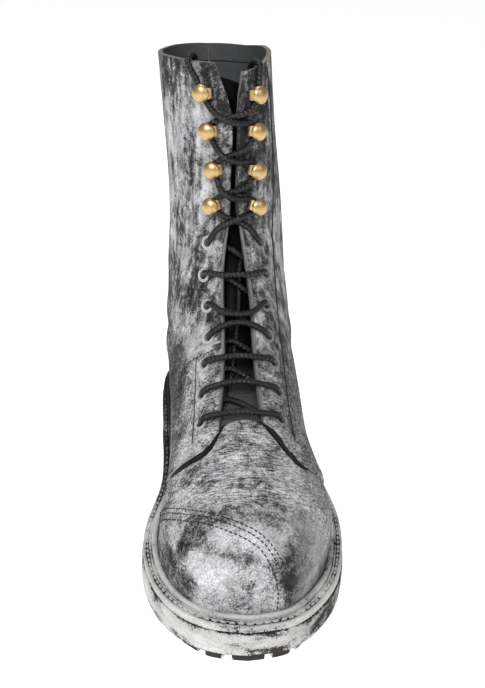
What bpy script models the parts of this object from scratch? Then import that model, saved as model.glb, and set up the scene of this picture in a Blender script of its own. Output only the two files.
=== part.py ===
"""A tall lace-up leather boot for the left foot: upper, welt, midsole, lugged outsole and laces.

The upper is one closed form of sections between a lower rail and an upper rail. Its wall, toe cap, eyestays
and tongue are all read from that form at different lifts, so they stay parallel.
"""

import math

import bpy
import bmesh
import numpy as np
from mathutils import Matrix, Vector

MM = 0.001
SIDES = ("medial", "lateral")

# Driving sizes, in millimetres. s runs from the toe tip to the heel, z up from the ground,
# and x from the middle towards the outer side of the foot.
SOLE_LENGTH = 300.0
WELT, MIDSOLE, PLATE, LUG = 4.5, 9.5, 4.5, 4.0
LUG_INSET, PLATE_LIP = 4.0, 0.5
HEEL_BREAST = 219.0
WAIST_START, WAIST_BLEND = 158.0, 8.0
EDGE_GROOVES, EDGE_GROOVE_SPAN, EDGE_GROOVE_WIDTH = 9, (0.03, 0.40), 4.2
EDGE_GROOVE_REACH, EDGE_GROOVE_OUT = 19.0, 4.0
CROSS_GROOVES, CROSS_GROOVE_WIDTH, CROSS_GROOVE_HALF = (40, 62, 84, 106, 128), 5.0, 22.0
HEEL_GROOVES, HEEL_GROOVE_WIDTH, HEEL_GROOVE = (238, 258, 278), 4.5, 4.0
GROOVE_OVERCUT = 8.0
INSOLE, INSOLE_INSET = 3.0, 2.2
GAP = 0.3
WALL = 1.8
QUARTER_STEP = 1.0
OVERLAY_GAP, OVERLAY = 0.4, 1.0
TONGUE_GAP = 0.8
TONGUE_THICKNESS = 2.0
LACE_RADIUS, CORD_GAP = 2.2, 0.5
EYELET_OUTER, EYELET_HOLE, EYELET_HEIGHT = 4.3, 2.5, 0.8
EYELET_SEAT, HOOK_SEAT = 0.7, 0.45
HOOK_NECK, HOOK_DOME = 2.0, 5.2
HOOK_UNDER, HOOK_TOP = 4.9, 7.8
# The upper's foot stands this far above the midsole, and nothing of it comes nearer than the second.
FOOT_CLEARANCE, LEAST_CLEARANCE = 0.6, 0.5
# Run of the lower rail along the foot and up the back seam, which spaces the sections.
FOOT_RUN, SEAM_RUN = 320.0, 240.0
OUTLINE_POINTS = 161
LAYER_STATIONS, OUTSOLE_STATIONS, HEEL_STATIONS, WELT_STRIDE = 31, 41, 15, 5
DENSE_U, DENSE_V = 260, 64


def columns(header, *rows):
    """A table with named columns, as one array for each column."""
    return dict(zip(header.split(), np.array(rows, dtype=float).T))


SOLE_PLAN = columns(
    "s x_medial x_lateral",
    (0, -7, -7),
    (5.5, -27, 15.5),
    (20, -42.6, 31),
    (45, -54, 46),
    (78, -59, 55.4),
    (108, -56.3, 59),
    (145, -47.5, 56),
    (185, -44.5, 46.5),
    (222, -44, 39.5),
    (256, -43, 36.5),
    (281, -36, 29),
    (295, -21.5, 15),
    (300, -3.5, -3.5),
)
SEAT = columns(
    "s z",
    (0, 33), (35, 27), (72, 23), (100, 22.5), (135, 22.5), (180, 30.5), (218, 38), (255, 40), (300, 40.5),
)
BACK_SEAM = columns(
    "z s x",
    (37, 292.5, -3.5),
    (60, 294, -3.4),
    (85, 292.5, -3.9),
    (125, 286, -5.5),
    (165, 283, -8),
    (205, 285, -11),
    (240, 289, -13.5),
    (272, 292.4, -15.5),
)
# Distance from the sole's edge to the foot of the upper.
FEATHER = columns("s inset", (0, 10), (60, 10), (140, 9), (200, 7), (300, 7))
SECTION = "low s_high z_high x_high x_medial x_lateral eta n_low n_high"
# low is where the section starts: s along the lower edge of the foot, then z up the back seam.
FOOT = columns(
    SECTION,
    (10, 11.5, 47, -7, -7, -7, 0.5, 1.3, 2.0),
    (14, 16, 57, -6.8, -25, 11.5, 0.46, 1.3, 2.1),
    (25, 27, 67, -6.5, -37, 24.5, 0.42, 1.3, 2.2),
    (48, 48, 74.5, -6, -46, 38.5, 0.38, 1.3, 2.2),
    (76, 74, 80, -5, -48, 45.5, 0.36, 1.3, 2.1),
    (108, 100, 88, -4, -44.5, 45.5, 0.34, 1.3, 2.0),
    (150, 122, 100, -3, -40.8, 41.8, 0.33, 1.2, 2.0),
    (178, 140, 117, -2.8, -39.8, 40.5, 0.35, 1.2, 2.0),
    (212, 156, 139, -3.2, -39.6, 38.3, 0.38, 1.3, 2.0),
    (252, 168, 162, -4.7, -40.4, 37, 0.42, 1.4, 2.1),
    (281, 174, 178, -5.2, -40.6, 36, 0.46, 1.8, 2.1),
    (292.5, 176, 186, -5.7, -40.3, 34.5, 0.5, 2.0, 2.1),
)
SHAFT = columns(
    SECTION,
    (80, 177.5, 196, -6.4, -40.7, 32, 0.5, 2.0, 2.2),
    (125, 178.5, 210, -6.6, -40.2, 29, 0.5, 2.1, 2.2),
    (165, 179, 226, -6.6, -41.2, 25.5, 0.5, 2.1, 2.2),
    (205, 180, 242, -7.2, -43.8, 22, 0.5, 2.1, 2.2),
    (240, 180.5, 256, -9, -46.4, 19.4, 0.5, 2.1, 2.2),
    (272, 180.6, 268, -11.5, -48.8, 17, 0.5, 2.1, 2.2),
)
# How far the collar stands above the last section, from the back seam (0) to the front line (1).
COLLAR_RISE = {
    "medial": columns("v rise", (0, 0), (0.3, 0), (0.5, 1.5), (0.7, 4), (0.93, 5), (1, 2.5)),
    "lateral": columns("v rise", (0, 0), (0.2, 1.5), (0.4, 5.5), (0.6, 6.5), (0.75, 5), (0.93, 0.5), (1, 2.5)),
}
RISE_FROM = 0.9


def spline(knots, values, at):
    """Natural cubic through the knots, read at the given places."""
    knots, values, at = np.asarray(knots, float), np.asarray(values, float), np.asarray(at, float)
    n, h = len(knots), np.diff(knots)
    system = np.eye(n)
    right = np.zeros(n)
    for i in range(1, n - 1):
        system[i, i - 1:i + 2] = h[i - 1], 2 * (h[i - 1] + h[i]), h[i]
        right[i] = 6 * ((values[i + 1] - values[i]) / h[i] - (values[i] - values[i - 1]) / h[i - 1])
    bend = np.linalg.solve(system, right)
    k = np.clip(np.searchsorted(knots, at) - 1, 0, n - 2)
    a, b = (knots[k + 1] - at) / h[k], (at - knots[k]) / h[k]
    cubic = (a ** 3 - a) * bend[k] + (b ** 3 - b) * bend[k + 1]
    return a * values[k] + b * values[k + 1] + cubic * h[k] ** 2 / 6


def lengths(points):
    """Distance along a polyline, from 0 at its first point."""
    steps = np.linalg.norm(np.diff(points, axis=0), axis=1)
    return np.concatenate([[0.0], np.cumsum(steps)])


def resample(points, fractions):
    """Points at fractions of a polyline's length."""
    along = lengths(points)
    at = np.asarray(fractions) * along[-1]
    return np.stack([np.interp(at, along, points[:, k]) for k in range(points.shape[1])], axis=1)


def seat_z(s):
    """Height of the welt's top."""
    return spline(SEAT["s"], SEAT["z"], s)


def sole_edge(side, count):
    """One side of the sole's plan outline from toe tip to heel, as (x, s)."""
    knots = np.stack([SOLE_PLAN["x_" + side], SOLE_PLAN["s"]], axis=1)
    along = lengths(knots)
    t = np.linspace(0, along[-1], 400)
    fine = np.stack([spline(along, knots[:, k], t) for k in range(2)], axis=1)
    return resample(fine, np.linspace(0, 1, count))


def inset_edges(by, count):
    """Both sides of the sole's outline, moved inwards, with their shared end points."""
    medial, lateral = sole_edge("medial", count), sole_edge("lateral", count)
    loop = np.concatenate([medial, lateral[-2:0:-1]])
    run = np.roll(loop, -1, axis=0) - np.roll(loop, 1, axis=0)
    inward = np.stack([run[:, 1], -run[:, 0]], axis=1) / np.linalg.norm(run, axis=1)[:, None]
    moved = loop + np.reshape(by if np.isscalar(by) else by(loop[:, 1]), (-1, 1)) * inward
    return {"medial": moved[:count], "lateral": np.concatenate([moved[:1], moved[:count - 2:-1]])}


def feather_inset(s):
    """Distance from the sole's edge to the foot of the upper."""
    return np.interp(s, FEATHER["s"], FEATHER["inset"])


def low_rail(side):
    """The upper's lower edge: round the welt to the heel, then up the back seam."""
    edge = inset_edges(feather_inset, 120)[side]
    foot = np.column_stack([edge, seat_z(edge[:, 1]) - WELT + FOOT_CLEARANCE])
    z = np.linspace(foot[-1, 2], BACK_SEAM["z"][-1], 60)[1:]
    seam = np.column_stack([*(spline(BACK_SEAM["z"], BACK_SEAM[axis], z) for axis in "xs"), z])
    return np.concatenate([foot, seam]), len(foot)


def section_knots():
    """Each section's place along the form, 0 at the toe and 1 at the collar, and along its lower rail."""
    starts = []
    for side in SIDES:
        rail, split = low_rail(side)
        along = lengths(rail)
        foot = np.interp(FOOT["low"], rail[:split, 1], along[:split]) / along[split - 1]
        foot[0], foot[-1] = 0.0, 1.0
        seam = np.interp(SHAFT["low"], rail[split - 1:, 2], along[split - 1:]) - along[split - 1]
        starts.append(np.concatenate([foot, 1 + seam / (along[-1] - along[split - 1])]))
    start = np.mean(starts, axis=0)
    high = np.column_stack([np.concatenate([FOOT[n], SHAFT[n]]) for n in ("x_high", "s_high", "z_high")])
    reach = np.where(start < 1, start * FOOT_RUN, FOOT_RUN + (start - 1) * SEAM_RUN)
    return (reach / reach[-1] + lengths(high) / lengths(high)[-1]) / 2, start


def dense_form(side):
    """The upper's outer surface on one side, closed along the front, as a fine grid of sections."""
    rail, split = low_rail(side)
    along = lengths(rail)
    knots, start = section_knots()
    rows = {name: np.concatenate([FOOT[name], SHAFT[name]]) for name in SECTION.split()}
    u = np.linspace(0, 1, DENSE_U)
    at = {name: spline(knots, rows[name], u) for name in SECTION.split()}
    begin = np.clip(spline(knots, start, u), 0, 2)
    heel = along[split - 1]
    reach = np.where(begin < 1, begin * heel, heel + (begin - 1) * (along[-1] - heel))
    angle = np.linspace(0, math.pi / 2, 60)
    grid = np.zeros((DENSE_U, DENSE_V, 3))
    for i in range(DENSE_U):
        first = np.array([np.interp(reach[i], along, rail[:, k]) for k in range(3)])
        last = np.array([at["x_high"][i], at["s_high"][i], at["z_high"][i]])
        wide, eta = at["x_" + side][i], at["eta"][i]
        p, q = 2 / at["n_low"][i], 2 / at["n_high"][i]
        across = np.concatenate([
            first[0] + (wide - first[0]) * np.sin(angle) ** p,
            (last[0] + (wide - last[0]) * np.cos(angle) ** q)[1:],
        ])
        rise = np.concatenate([eta * (1 - np.cos(angle) ** p), (eta + (1 - eta) * np.sin(angle) ** q)[1:]])
        climb = first[1:] + rise[:, None] * (last[1:] - first[1:])
        curve = np.column_stack([across, climb])
        grid[i] = resample(curve, np.linspace(0, 1, DENSE_V))
    share = np.clip((u - RISE_FROM) / (1 - RISE_FROM), 0, 1) ** 2
    rise = np.interp(np.linspace(0, 1, DENSE_V), COLLAR_RISE[side]["v"], COLLAR_RISE[side]["rise"])
    grid[..., 2] += share[:, None] * rise
    return grid


def unit(vectors):
    return vectors / np.linalg.norm(vectors, axis=-1, keepdims=True)


def build_form():
    """The dense grid and its outward normals for both sides, equal along the lines that the sides share."""
    grids = {side: dense_form(side) for side in SIDES}
    normals = {}
    for side in SIDES:
        across = np.cross(np.gradient(grids[side], axis=0), np.gradient(grids[side], axis=1))
        across[0, -1] = across[0, -2] + across[1, -1]
        normals[side] = unit(across * (-1.0 if side == "medial" else 1.0))
    shared = np.linalg.norm(grids["medial"] - grids["lateral"], axis=-1) < 1e-6
    mean = unit(normals["medial"] + normals["lateral"])
    for side in SIDES:
        normals[side][shared] = mean[shared]
    return grids, normals


GRIDS, NORMALS = build_form()


def skin(side, u, v, lift):
    """Points on the form: u from toe to collar, v from the lower rail to the front line, lift outwards."""
    u, v = np.broadcast_arrays(np.asarray(u, float), np.asarray(v, float))
    a, b = np.clip(u, 0, 1) * (DENSE_U - 1), np.clip(v, 0, 1) * (DENSE_V - 1)
    i, j = np.minimum(a.astype(int), DENSE_U - 2), np.minimum(b.astype(int), DENSE_V - 2)
    f, g = (a - i)[..., None], (b - j)[..., None]
    read = [
        (1 - f) * (1 - g) * data[i, j] + f * (1 - g) * data[i + 1, j]
        + (1 - f) * g * data[i, j + 1] + f * g * data[i + 1, j + 1]
        for data in (GRIDS[side], NORMALS[side])
    ]
    return read[0] + np.asarray(lift)[..., None] * unit(read[1])


def girth(side, u):
    """Length of a section from the lower rail to the front line."""
    return lengths(skin(side, u, np.linspace(0, 1, 60), 0.0))[-1]


def v_from_front(side, u, distance):
    """Where a section lies a distance, in millimetres along the skin, from the front line."""
    return 1 - np.asarray(distance) / girth(side, u)


# Panel edges, as where they cross each section: v from the welt (0) to the front line (1).
CAP_EDGE = {
    "medial": columns(
        "v u",
        (0, 0.25), (0.3, 0.213), (0.49, 0.173), (0.645, 0.138), (0.74, 0.122), (0.84, 0.107), (1, 0.0885),
    ),
    "lateral": columns(
        "v u",
        (0, 0.0435), (0.2, 0.0432), (0.41, 0.0428), (0.535, 0.0452), (0.656, 0.0514), (0.753, 0.0603),
        (0.856, 0.0728), (1, 0.0885),
    ),
}
QUARTER_EDGE = {
    "medial": columns(
        "v u",
        (0, 0.31), (0.3, 0.27), (0.52, 0.236), (0.66, 0.227), (0.8, 0.238), (0.89, 0.271), (1, 0.283),
    ),
    "lateral": columns(
        "v u",
        (0, 0.31), (0.3, 0.265), (0.55, 0.222), (0.66, 0.216), (0.75, 0.238), (0.86, 0.274), (1, 0.283),
    ),
}
# Along the throat: distance from the front line to the facing's edge and to the eyestay's outer seam.
THROAT = columns(
    "u gap stay",
    (0.26, 12.5, 29),
    (0.30, 12.0, 29),
    (0.35, 10.2, 29),
    (0.41, 8.6, 28.5),
    (0.50, 8.2, 28),
    (0.55, 6.8, 28),
    (0.61, 4.0, 28),
    (0.68, 1.6, 28),
    (0.91, 1.4, 28),
    (0.95, 3.4, 28),
    (1.0, 8.0, 27),
)
EYELETS = columns(
    "u from_front",
    (0.606, 15.8), (0.552, 19.2), (0.496, 18), (0.442, 18), (0.401, 21.2), (0.353, 23), (0.294, 23),
)
# Hooks, with their distance from the front line on each side.
HOOKS = columns(
    "u medial lateral",
    (0.704, 11.2, 12.9), (0.795, 10.8, 11.7), (0.877, 13.7, 10.6), (0.952, 15.4, 12.2),
)

CAP_ROWS, VAMP_ROWS, WAIST_ROWS, SHAFT_ROWS = 6, 6, 11, 11
LOW_COLUMNS, STAY_COLUMNS, THROAT_COLUMNS = 7, 3, 2
FIRST_QUARTER = CAP_ROWS + VAMP_ROWS
FACING = LOW_COLUMNS + STAY_COLUMNS


def edge_u(edge, side, v):
    return spline(edge[side]["v"], edge[side]["u"], v)


def heel_u():
    """Where the lower rail reaches the back of the heel."""
    knots, start = section_knots()
    return knots[len(FOOT["low"]) - 1]


def panel_v(side, u, column):
    """v of a column: up to the eyestay's seam, on to the facing's edge, then across the throat."""
    open_u = max(u, THROAT["u"][0])
    own = u / open_u
    far = [np.interp(open_u, THROAT["u"], THROAT[name]) for name in ("gap", "stay")]
    both = np.mean([v_from_front(each, open_u, far) for each in SIDES], axis=0)
    gap, stay = own * v_from_front(side, open_u, far) + (1 - own) * both
    if column <= LOW_COLUMNS:
        return stay * column / LOW_COLUMNS
    if column <= FACING:
        return stay + (gap - stay) * (column - LOW_COLUMNS) / STAY_COLUMNS
    return gap + (1 - gap) * (column - FACING) / THROAT_COLUMNS


def panel_u(side, row, v):
    """u of a row, so that rows follow the toe cap's edge and the quarter's front edge."""
    cap, quarter = edge_u(CAP_EDGE, side, v), edge_u(QUARTER_EDGE, side, v)
    if row <= CAP_ROWS:
        return cap * row / CAP_ROWS
    if row <= FIRST_QUARTER:
        return cap + (quarter - cap) * (row - CAP_ROWS) / VAMP_ROWS
    past, heel = row - FIRST_QUARTER, heel_u()
    foot = edge_u(QUARTER_EDGE, side, 0.0)
    reach = (heel - foot) / (1 - foot)
    if past <= WAIST_ROWS:
        share = reach * past / WAIST_ROWS
    else:
        share = reach + (1 - reach) * (past - WAIST_ROWS) / SHAFT_ROWS
    return quarter + (1 - quarter) * share


def node_place(side, row, column):
    """(u, v) of a grid node, where the two warps agree."""
    u = THROAT["u"][0]
    for _ in range(6):
        v = panel_v(side, u, column)
        u = float(panel_u(side, row, v))
    return u, float(v)


LAST_ROW = FIRST_QUARTER + WAIST_ROWS + SHAFT_ROWS
PLACES = {
    (side, row, column): node_place(side, row, column)
    for side in SIDES
    for row in range(LAST_ROW + 1)
    for column in range(FACING + THROAT_COLUMNS + 1)
}


def to_world(point):
    return Vector((point[0] * MM, (point[1] - SOLE_LENGTH / 2) * MM, point[2] * MM))


def material(name, colour, roughness, metallic=0.0):
    made = bpy.data.materials.new(name)
    made.use_nodes = True
    shader = made.node_tree.nodes["Principled BSDF"]
    shader.inputs["Base Color"].default_value = (*colour, 1.0)
    shader.inputs["Roughness"].default_value = roughness
    shader.inputs["Metallic"].default_value = metallic
    return made


def add_object(name, mesh, made_of, smooth_degrees=35):
    mesh.materials.append(made_of)
    mesh.shade_smooth()
    mesh.set_sharp_from_angle(angle=math.radians(smooth_degrees))
    made = bpy.data.objects.new(name, mesh)
    made.parent = BOOT
    bpy.context.collection.objects.link(made)
    return made


def mesh_of(name, points, faces):
    """A mesh from points in millimetres, with its faces turned outwards."""
    mesh = bpy.data.meshes.new(name)
    mesh.from_pydata([to_world(p) for p in points], [], faces)
    work = bmesh.new()
    work.from_mesh(mesh)
    bmesh.ops.recalc_face_normals(work, faces=work.faces)
    if work.calc_volume(signed=True) < 0:
        bmesh.ops.reverse_faces(work, faces=work.faces)
    work.to_mesh(mesh)
    work.free()
    return mesh


def on_midsole(point):
    """The point, kept clear above the midsole."""
    return np.array([point[0], point[1], max(point[2], seat_z(point[1]) - WELT + LEAST_CLEARANCE)])


class Sheet:
    """A leather sheet on the form: outer and inner points for each node, closed round its open edges."""

    def __init__(self):
        self.outer, self.inner, self.partner = {}, {}, {}
        self.outer_faces, self.inner_faces = [], []

    def node(self, side, row, column, lift, depth):
        u, v = PLACES[side, row, column]
        outside, inside = (tuple(np.round(on_midsole(skin(side, u, v, far)), 3)) for far in (lift, depth))
        a = self.outer.setdefault(outside, len(self.outer))
        self.partner[a] = self.inner.setdefault(inside, len(self.inner))
        return a

    def face(self, corners, backed=True):
        self.outer_faces.append(corners)
        if backed:
            self.inner_faces.append([self.partner[c] for c in corners])

    def patch(self, side, rows, cols, lift, depth):
        for row in range(*rows):
            for column in range(*cols):
                corners = ((row, column), (row + 1, column), (row + 1, column + 1), (row, column + 1))
                self.face([self.node(side, r, c, lift, depth) for r, c in corners])

    def step(self, side, row, cols, low, high, depth):
        for column in range(*cols):
            a, b = (self.node(side, row, c, low, depth) for c in (column, column + 1))
            c, d = (self.node(side, row, c, high, depth) for c in (column + 1, column))
            self.face([a, b, c, d], backed=False)

    def mesh(self, name):
        points = [np.array(p) for p in self.outer] + [np.array(p) for p in self.inner]
        base = len(self.outer)
        faces = [list(f) for f in self.outer_faces]
        faces += [[base + k for k in f] for f in self.inner_faces]
        uses = {}
        for f in self.outer_faces:
            for a, b in zip(f, f[1:] + f[:1]):
                uses.setdefault((min(a, b), max(a, b)), []).append((a, b))
        for edge in uses.values():
            if len(edge) == 1:
                a, b = edge[0]
                rim = [a, b, base + self.partner[b], base + self.partner[a]]
                faces.append(list(dict.fromkeys(rim)))
        return mesh_of(name, points, faces)


def make_upper(leather):
    sheet = Sheet()
    for side in SIDES:
        sheet.patch(side, (0, FIRST_QUARTER), (0, FACING + THROAT_COLUMNS), 0.0, -WALL)
        sheet.step(side, FIRST_QUARTER, (0, FACING), 0.0, QUARTER_STEP, -WALL)
        sheet.patch(side, (FIRST_QUARTER, LAST_ROW), (0, FACING), QUARTER_STEP, -WALL)
    return add_object("upper", sheet.mesh("upper"), leather)


def make_toe_cap(leather):
    sheet = Sheet()
    for side in SIDES:
        sheet.patch(side, (0, CAP_ROWS), (0, FACING + THROAT_COLUMNS), OVERLAY_GAP + OVERLAY, OVERLAY_GAP)
    return add_object("toe_cap", sheet.mesh("toe_cap"), leather)


def make_eyestay(side, leather):
    sheet = Sheet()
    inside = QUARTER_STEP + OVERLAY_GAP
    sheet.patch(side, (FIRST_QUARTER, LAST_ROW), (LOW_COLUMNS, FACING), inside + OVERLAY, inside)
    name = "eyestay_" + side
    return add_object(name, sheet.mesh(name), leather)


TONGUE = columns("u half_width", (0.235, 24), (0.5, 30), (0.85, 26), (0.975, 16))
TONGUE_ROWS, TONGUE_HALF = 17, 5


def make_tongue(leather):
    """A sheet behind the facings, from under the vamp to a little below the collar."""
    top = -WALL - TONGUE_GAP
    half = np.linspace(0, 1, TONGUE_HALF)
    across = [("medial", f) for f in half[::-1]] + [("lateral", f) for f in half[1:]]
    outer, inner = [], []
    for u in np.linspace(TONGUE["u"][0], TONGUE["u"][-1], TONGUE_ROWS):
        reach = np.interp(u, TONGUE["u"], TONGUE["half_width"])
        for side, f in across:
            v = v_from_front(side, u, reach * f)
            outer.append(skin(side, u, v, top))
            inner.append(skin(side, u, v, top - TONGUE_THICKNESS))
    return add_object("tongue", sheet_mesh("tongue", outer, inner, TONGUE_ROWS, len(across)), leather)


def sheet_mesh(name, outer, inner, rows, width):
    """A closed sheet from two grids of points."""
    base = len(outer)
    faces = []
    for r in range(rows - 1):
        for c in range(width - 1):
            quad = [r * width + c, (r + 1) * width + c, (r + 1) * width + c + 1, r * width + c + 1]
            faces += [quad, [base + k for k in quad[::-1]]]
    for r in range(rows - 1):
        for c in (0, width - 1):
            a, b = r * width + c, (r + 1) * width + c
            faces.append([a, b, base + b, base + a])
    for c in range(width - 1):
        for r in (0, rows - 1):
            a, b = r * width + c, r * width + c + 1
            faces.append([a, b, base + b, base + a])
    return mesh_of(name, outer + inner, faces)


def layer_mesh(name, profile, count, first=0.0, last=1.0):
    """A sole layer: a side profile of (inset, height function) swept round the outline, with bands across."""
    pick = np.round(np.linspace(first, last, count) * (OUTLINE_POINTS - 1)).astype(int)
    points, index = [], {}
    for k, (inset, height) in enumerate(profile):
        edges = inset_edges(inset, OUTLINE_POINTS)
        for side in SIDES:
            for n, (x, s) in enumerate(edges[side][pick]):
                shared = (n == 0 and first == 0) or (n == count - 1 and last == 1)
                if side == "lateral" and shared:
                    index[k, side, n] = index[k, "medial", n]
                else:
                    index[k, side, n] = len(points)
                    points.append((x, s, float(height(s))))
    rungs = range(len(profile))
    faces = []
    for n in range(count - 1):
        for side in SIDES:
            for k in rungs[:-1]:
                corners = ((k, n), (k, n + 1), (k + 1, n + 1), (k + 1, n))
                faces.append([index[rung, side, station] for rung, station in corners])
        for k in (rungs[0], rungs[-1]):
            band = [index[k, "medial", n], index[k, "medial", n + 1]]
            band += [index[k, "lateral", n + 1], index[k, "lateral", n]]
            faces.append(list(dict.fromkeys(band)))
    for n, cut in ((0, first > 0), (count - 1, last < 1)):
        if cut:
            rise = [index[k, "medial", n] for k in rungs]
            faces.append(rise + [index[k, "lateral", n] for k in reversed(rungs)])
    return mesh_of(name, points, faces)


def below(depth):
    """A height that stays a depth under the welt's top."""
    def height(s):
        return seat_z(s) - depth
    return height


def level(z):
    """A height that is the same all along."""
    def height(s):
        return np.full_like(np.asarray(s, float), z)
    return height


def from_feather(further):
    """An inset measured from the foot of the upper, inwards where positive."""
    def inset(s):
        return feather_inset(s) + further
    return inset


def make_welt(leather):
    """A ring with a rounded lip outside and a raised bead along the upper."""
    profile = (
        (1.0, below(WELT - GAP)),
        (1.0, below(0.6)),
        (1.6, below(0.0)),
        (from_feather(-5.2), below(0.0)),
        (from_feather(-4.0), below(-2.2)),
        (from_feather(-2.9), below(-1.0)),
        (from_feather(-2.9), below(WELT - GAP)),
    )
    rings = []
    for inset, height in profile:
        edges = inset_edges(inset, OUTLINE_POINTS)
        medial, lateral = (edges[side][::WELT_STRIDE] for side in SIDES)
        loop = np.concatenate([medial, lateral[-2:0:-1]])
        rings.append(np.column_stack([loop, height(loop[:, 1])]))
    size, faces = len(rings[0]), []
    for k in range(len(rings)):
        after = (k + 1) % len(rings)
        for n in range(size):
            m = (n + 1) % size
            faces.append([k * size + n, k * size + m, after * size + m, after * size + n])
    return add_object("welt", mesh_of("welt", np.concatenate(rings), faces), leather)


def make_midsole(rubber):
    """A thick plain layer with rounded edges."""
    top, bottom = WELT, WELT + MIDSOLE - GAP
    profile = (
        (0.8, below(top)), (0.0, below(top + 0.8)), (0.0, below(bottom - 0.8)), (0.8, below(bottom)),
    )
    return add_object("midsole", layer_mesh("midsole", profile, LAYER_STATIONS), rubber)


def make_insole(leather):
    inset = from_feather(WALL + INSOLE_INSET)
    profile = ((inset, below(WELT - GAP)), (inset, below(WELT - GAP - INSOLE)))
    return add_object("insole", layer_mesh("insole", profile, LAYER_STATIONS), leather)


TREAD_TOP = WELT + MIDSOLE
TREAD_BOTTOM = TREAD_TOP + PLATE + LUG


def tread_z(s):
    """Underside of the forefoot tread: flat on the ground under the ball and sprung up at the toe."""
    return np.maximum(seat_z(s) - TREAD_BOTTOM, 0.0)


def groove_z(s):
    """Top of the grooves between the lugs."""
    return tread_z(s) + LUG


def underside(s):
    """The tread, and behind the ball the thinner waist."""
    waist = seat_z(s) - TREAD_TOP - PLATE
    share = np.clip((np.asarray(s) - WAIST_START) / WAIST_BLEND, 0, 1)
    return tread_z(s) + (waist - tread_z(s)) * share


def groove(route, width, top):
    """A straight cutter between two (x, s) points, from below the ground up to a height function."""
    ends = np.array(route, float)
    run = unit(ends[1] - ends[0])
    across = np.array([-run[1], run[0]]) * width / 2
    points = []
    for end in ends:
        for place in (end + across, end - across):
            points.append((*place, -GROOVE_OVERCUT))
        for place in (end - across, end + across):
            points.append((*place, float(top(place[1]))))
    sides = [[k, (k + 1) % 4, (k + 1) % 4 + 4, k + 4] for k in range(4)]
    return points, [[0, 1, 2, 3], [7, 6, 5, 4]] + sides


def hidden_helper(name, mesh):
    """A cutter or second body for a Boolean, which isn't a piece itself."""
    helper = bpy.data.objects.new(name, mesh)
    helper.hide_render = True
    helper.display_type = "WIRE"
    helper.parent = BOOT
    bpy.context.collection.objects.link(helper)
    return helper


def carve(target, routes, width, top, name):
    """Cuts one groove for each route, all in one cutter of separate bars."""
    points, faces = [], []
    for route in routes:
        bar, quads = groove(route, width, top)
        faces += [[len(points) + k for k in quad] for quad in quads]
        points += bar
    cut = target.modifiers.new(name, "BOOLEAN")
    cut.operation = "DIFFERENCE"
    cut.object = hidden_helper(name, mesh_of(name, points, faces))


def edge_routes():
    """Grooves that cross the sole's edge, square to it, at equal steps along each side of the forefoot."""
    inner, outer = (inset_edges(by, OUTLINE_POINTS) for by in (EDGE_GROOVE_REACH, -EDGE_GROOVE_OUT))
    stations = np.linspace(*EDGE_GROOVE_SPAN, EDGE_GROOVES) * (OUTLINE_POINTS - 1)
    return [(outer[side][n], inner[side][n]) for side in SIDES for n in np.round(stations).astype(int)]


def make_outsole(rubber):
    """Plate and forefoot tread in one piece, with lugs set in from the plate's edge and a thinner waist."""
    lip = TREAD_TOP + PLATE - PLATE_LIP
    profile = (
        (0.9, below(TREAD_TOP)), (0.3, below(TREAD_TOP + 0.7)), (0.3, below(lip - 0.7)), (0.9, below(lip)),
        (LUG_INSET, below(lip)), (LUG_INSET + 0.4, underside),
    )
    sole = add_object("outsole", layer_mesh("outsole", profile, OUTSOLE_STATIONS), rubber)
    carve(sole, edge_routes(), EDGE_GROOVE_WIDTH, groove_z, "edge_grooves")
    middle = [((-CROSS_GROOVE_HALF, s), (CROSS_GROOVE_HALF, s)) for s in CROSS_GROOVES]
    carve(sole, middle, CROSS_GROOVE_WIDTH, groove_z, "cross_grooves")
    return sole


def make_heel(rubber):
    """A stacked heel block under the waist's rear, with a lip round its foot and grooves across it."""
    along = inset_edges(1.0, OUTLINE_POINTS)["medial"][:, 1]
    start = float(np.interp(HEEL_BREAST, along, np.linspace(0, 1, OUTLINE_POINTS)))
    profile = ((1.0, below(TREAD_TOP + PLATE + GAP)), (1.2, level(8.3)), (0.4, level(7.5)), (1.2, level(0.0)))
    heel = add_object("heel", layer_mesh("heel", profile, HEEL_STATIONS, first=start), rubber)
    across = [((-SOLE_LENGTH / 5, s), (SOLE_LENGTH / 5, s)) for s in HEEL_GROOVES]
    carve(heel, across, HEEL_GROOVE_WIDTH, level(HEEL_GROOVE), "heel_grooves")
    return heel


def frame_at(side, u, v, lift):
    """A place on the skin with its outward direction, as a matrix."""
    here, out = to_world(skin(side, u, v, lift)), skin(side, u, v, lift + 1.0) - skin(side, u, v, lift)
    turn = Vector(out).to_track_quat("Z", "Y").to_matrix().to_4x4()
    return Matrix.Translation(here) @ turn


def turned(name, profile, segments):
    """A turned solid from (radius, height) points, in millimetres."""
    work = bmesh.new()
    verts = [work.verts.new((r * MM, 0, z * MM)) for r, z in profile]
    for a, b in zip(verts, verts[1:]):
        work.edges.new((a, b))
    bmesh.ops.spin(
        work, geom=work.verts[:] + work.edges[:], cent=(0, 0, 0), axis=(0, 0, 1),
        angle=2 * math.pi, steps=segments, use_merge=True,
    )
    bmesh.ops.remove_doubles(work, verts=work.verts, dist=1e-6)
    bmesh.ops.recalc_face_normals(work, faces=work.faces)
    mesh = bpy.data.meshes.new(name)
    work.to_mesh(mesh)
    work.free()
    return mesh


STAY_TOP = QUARTER_STEP + OVERLAY_GAP + OVERLAY
BAR_LIFT = STAY_TOP + EYELET_SEAT + EYELET_HEIGHT + CORD_GAP + LACE_RADIUS
STRAND_LIFT = STAY_TOP + CORD_GAP + LACE_RADIUS
# A crossing stops this share of the form's length short of each hook, and passes its neck this far inside.
HOOK_PASS, HOOK_INSIDE = 0.022, 1.0
RING_SEGMENTS, STRAND_POINTS, LACE_END_POINTS = 8, 7, 15
CORD_SMOOTH = 60


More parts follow.
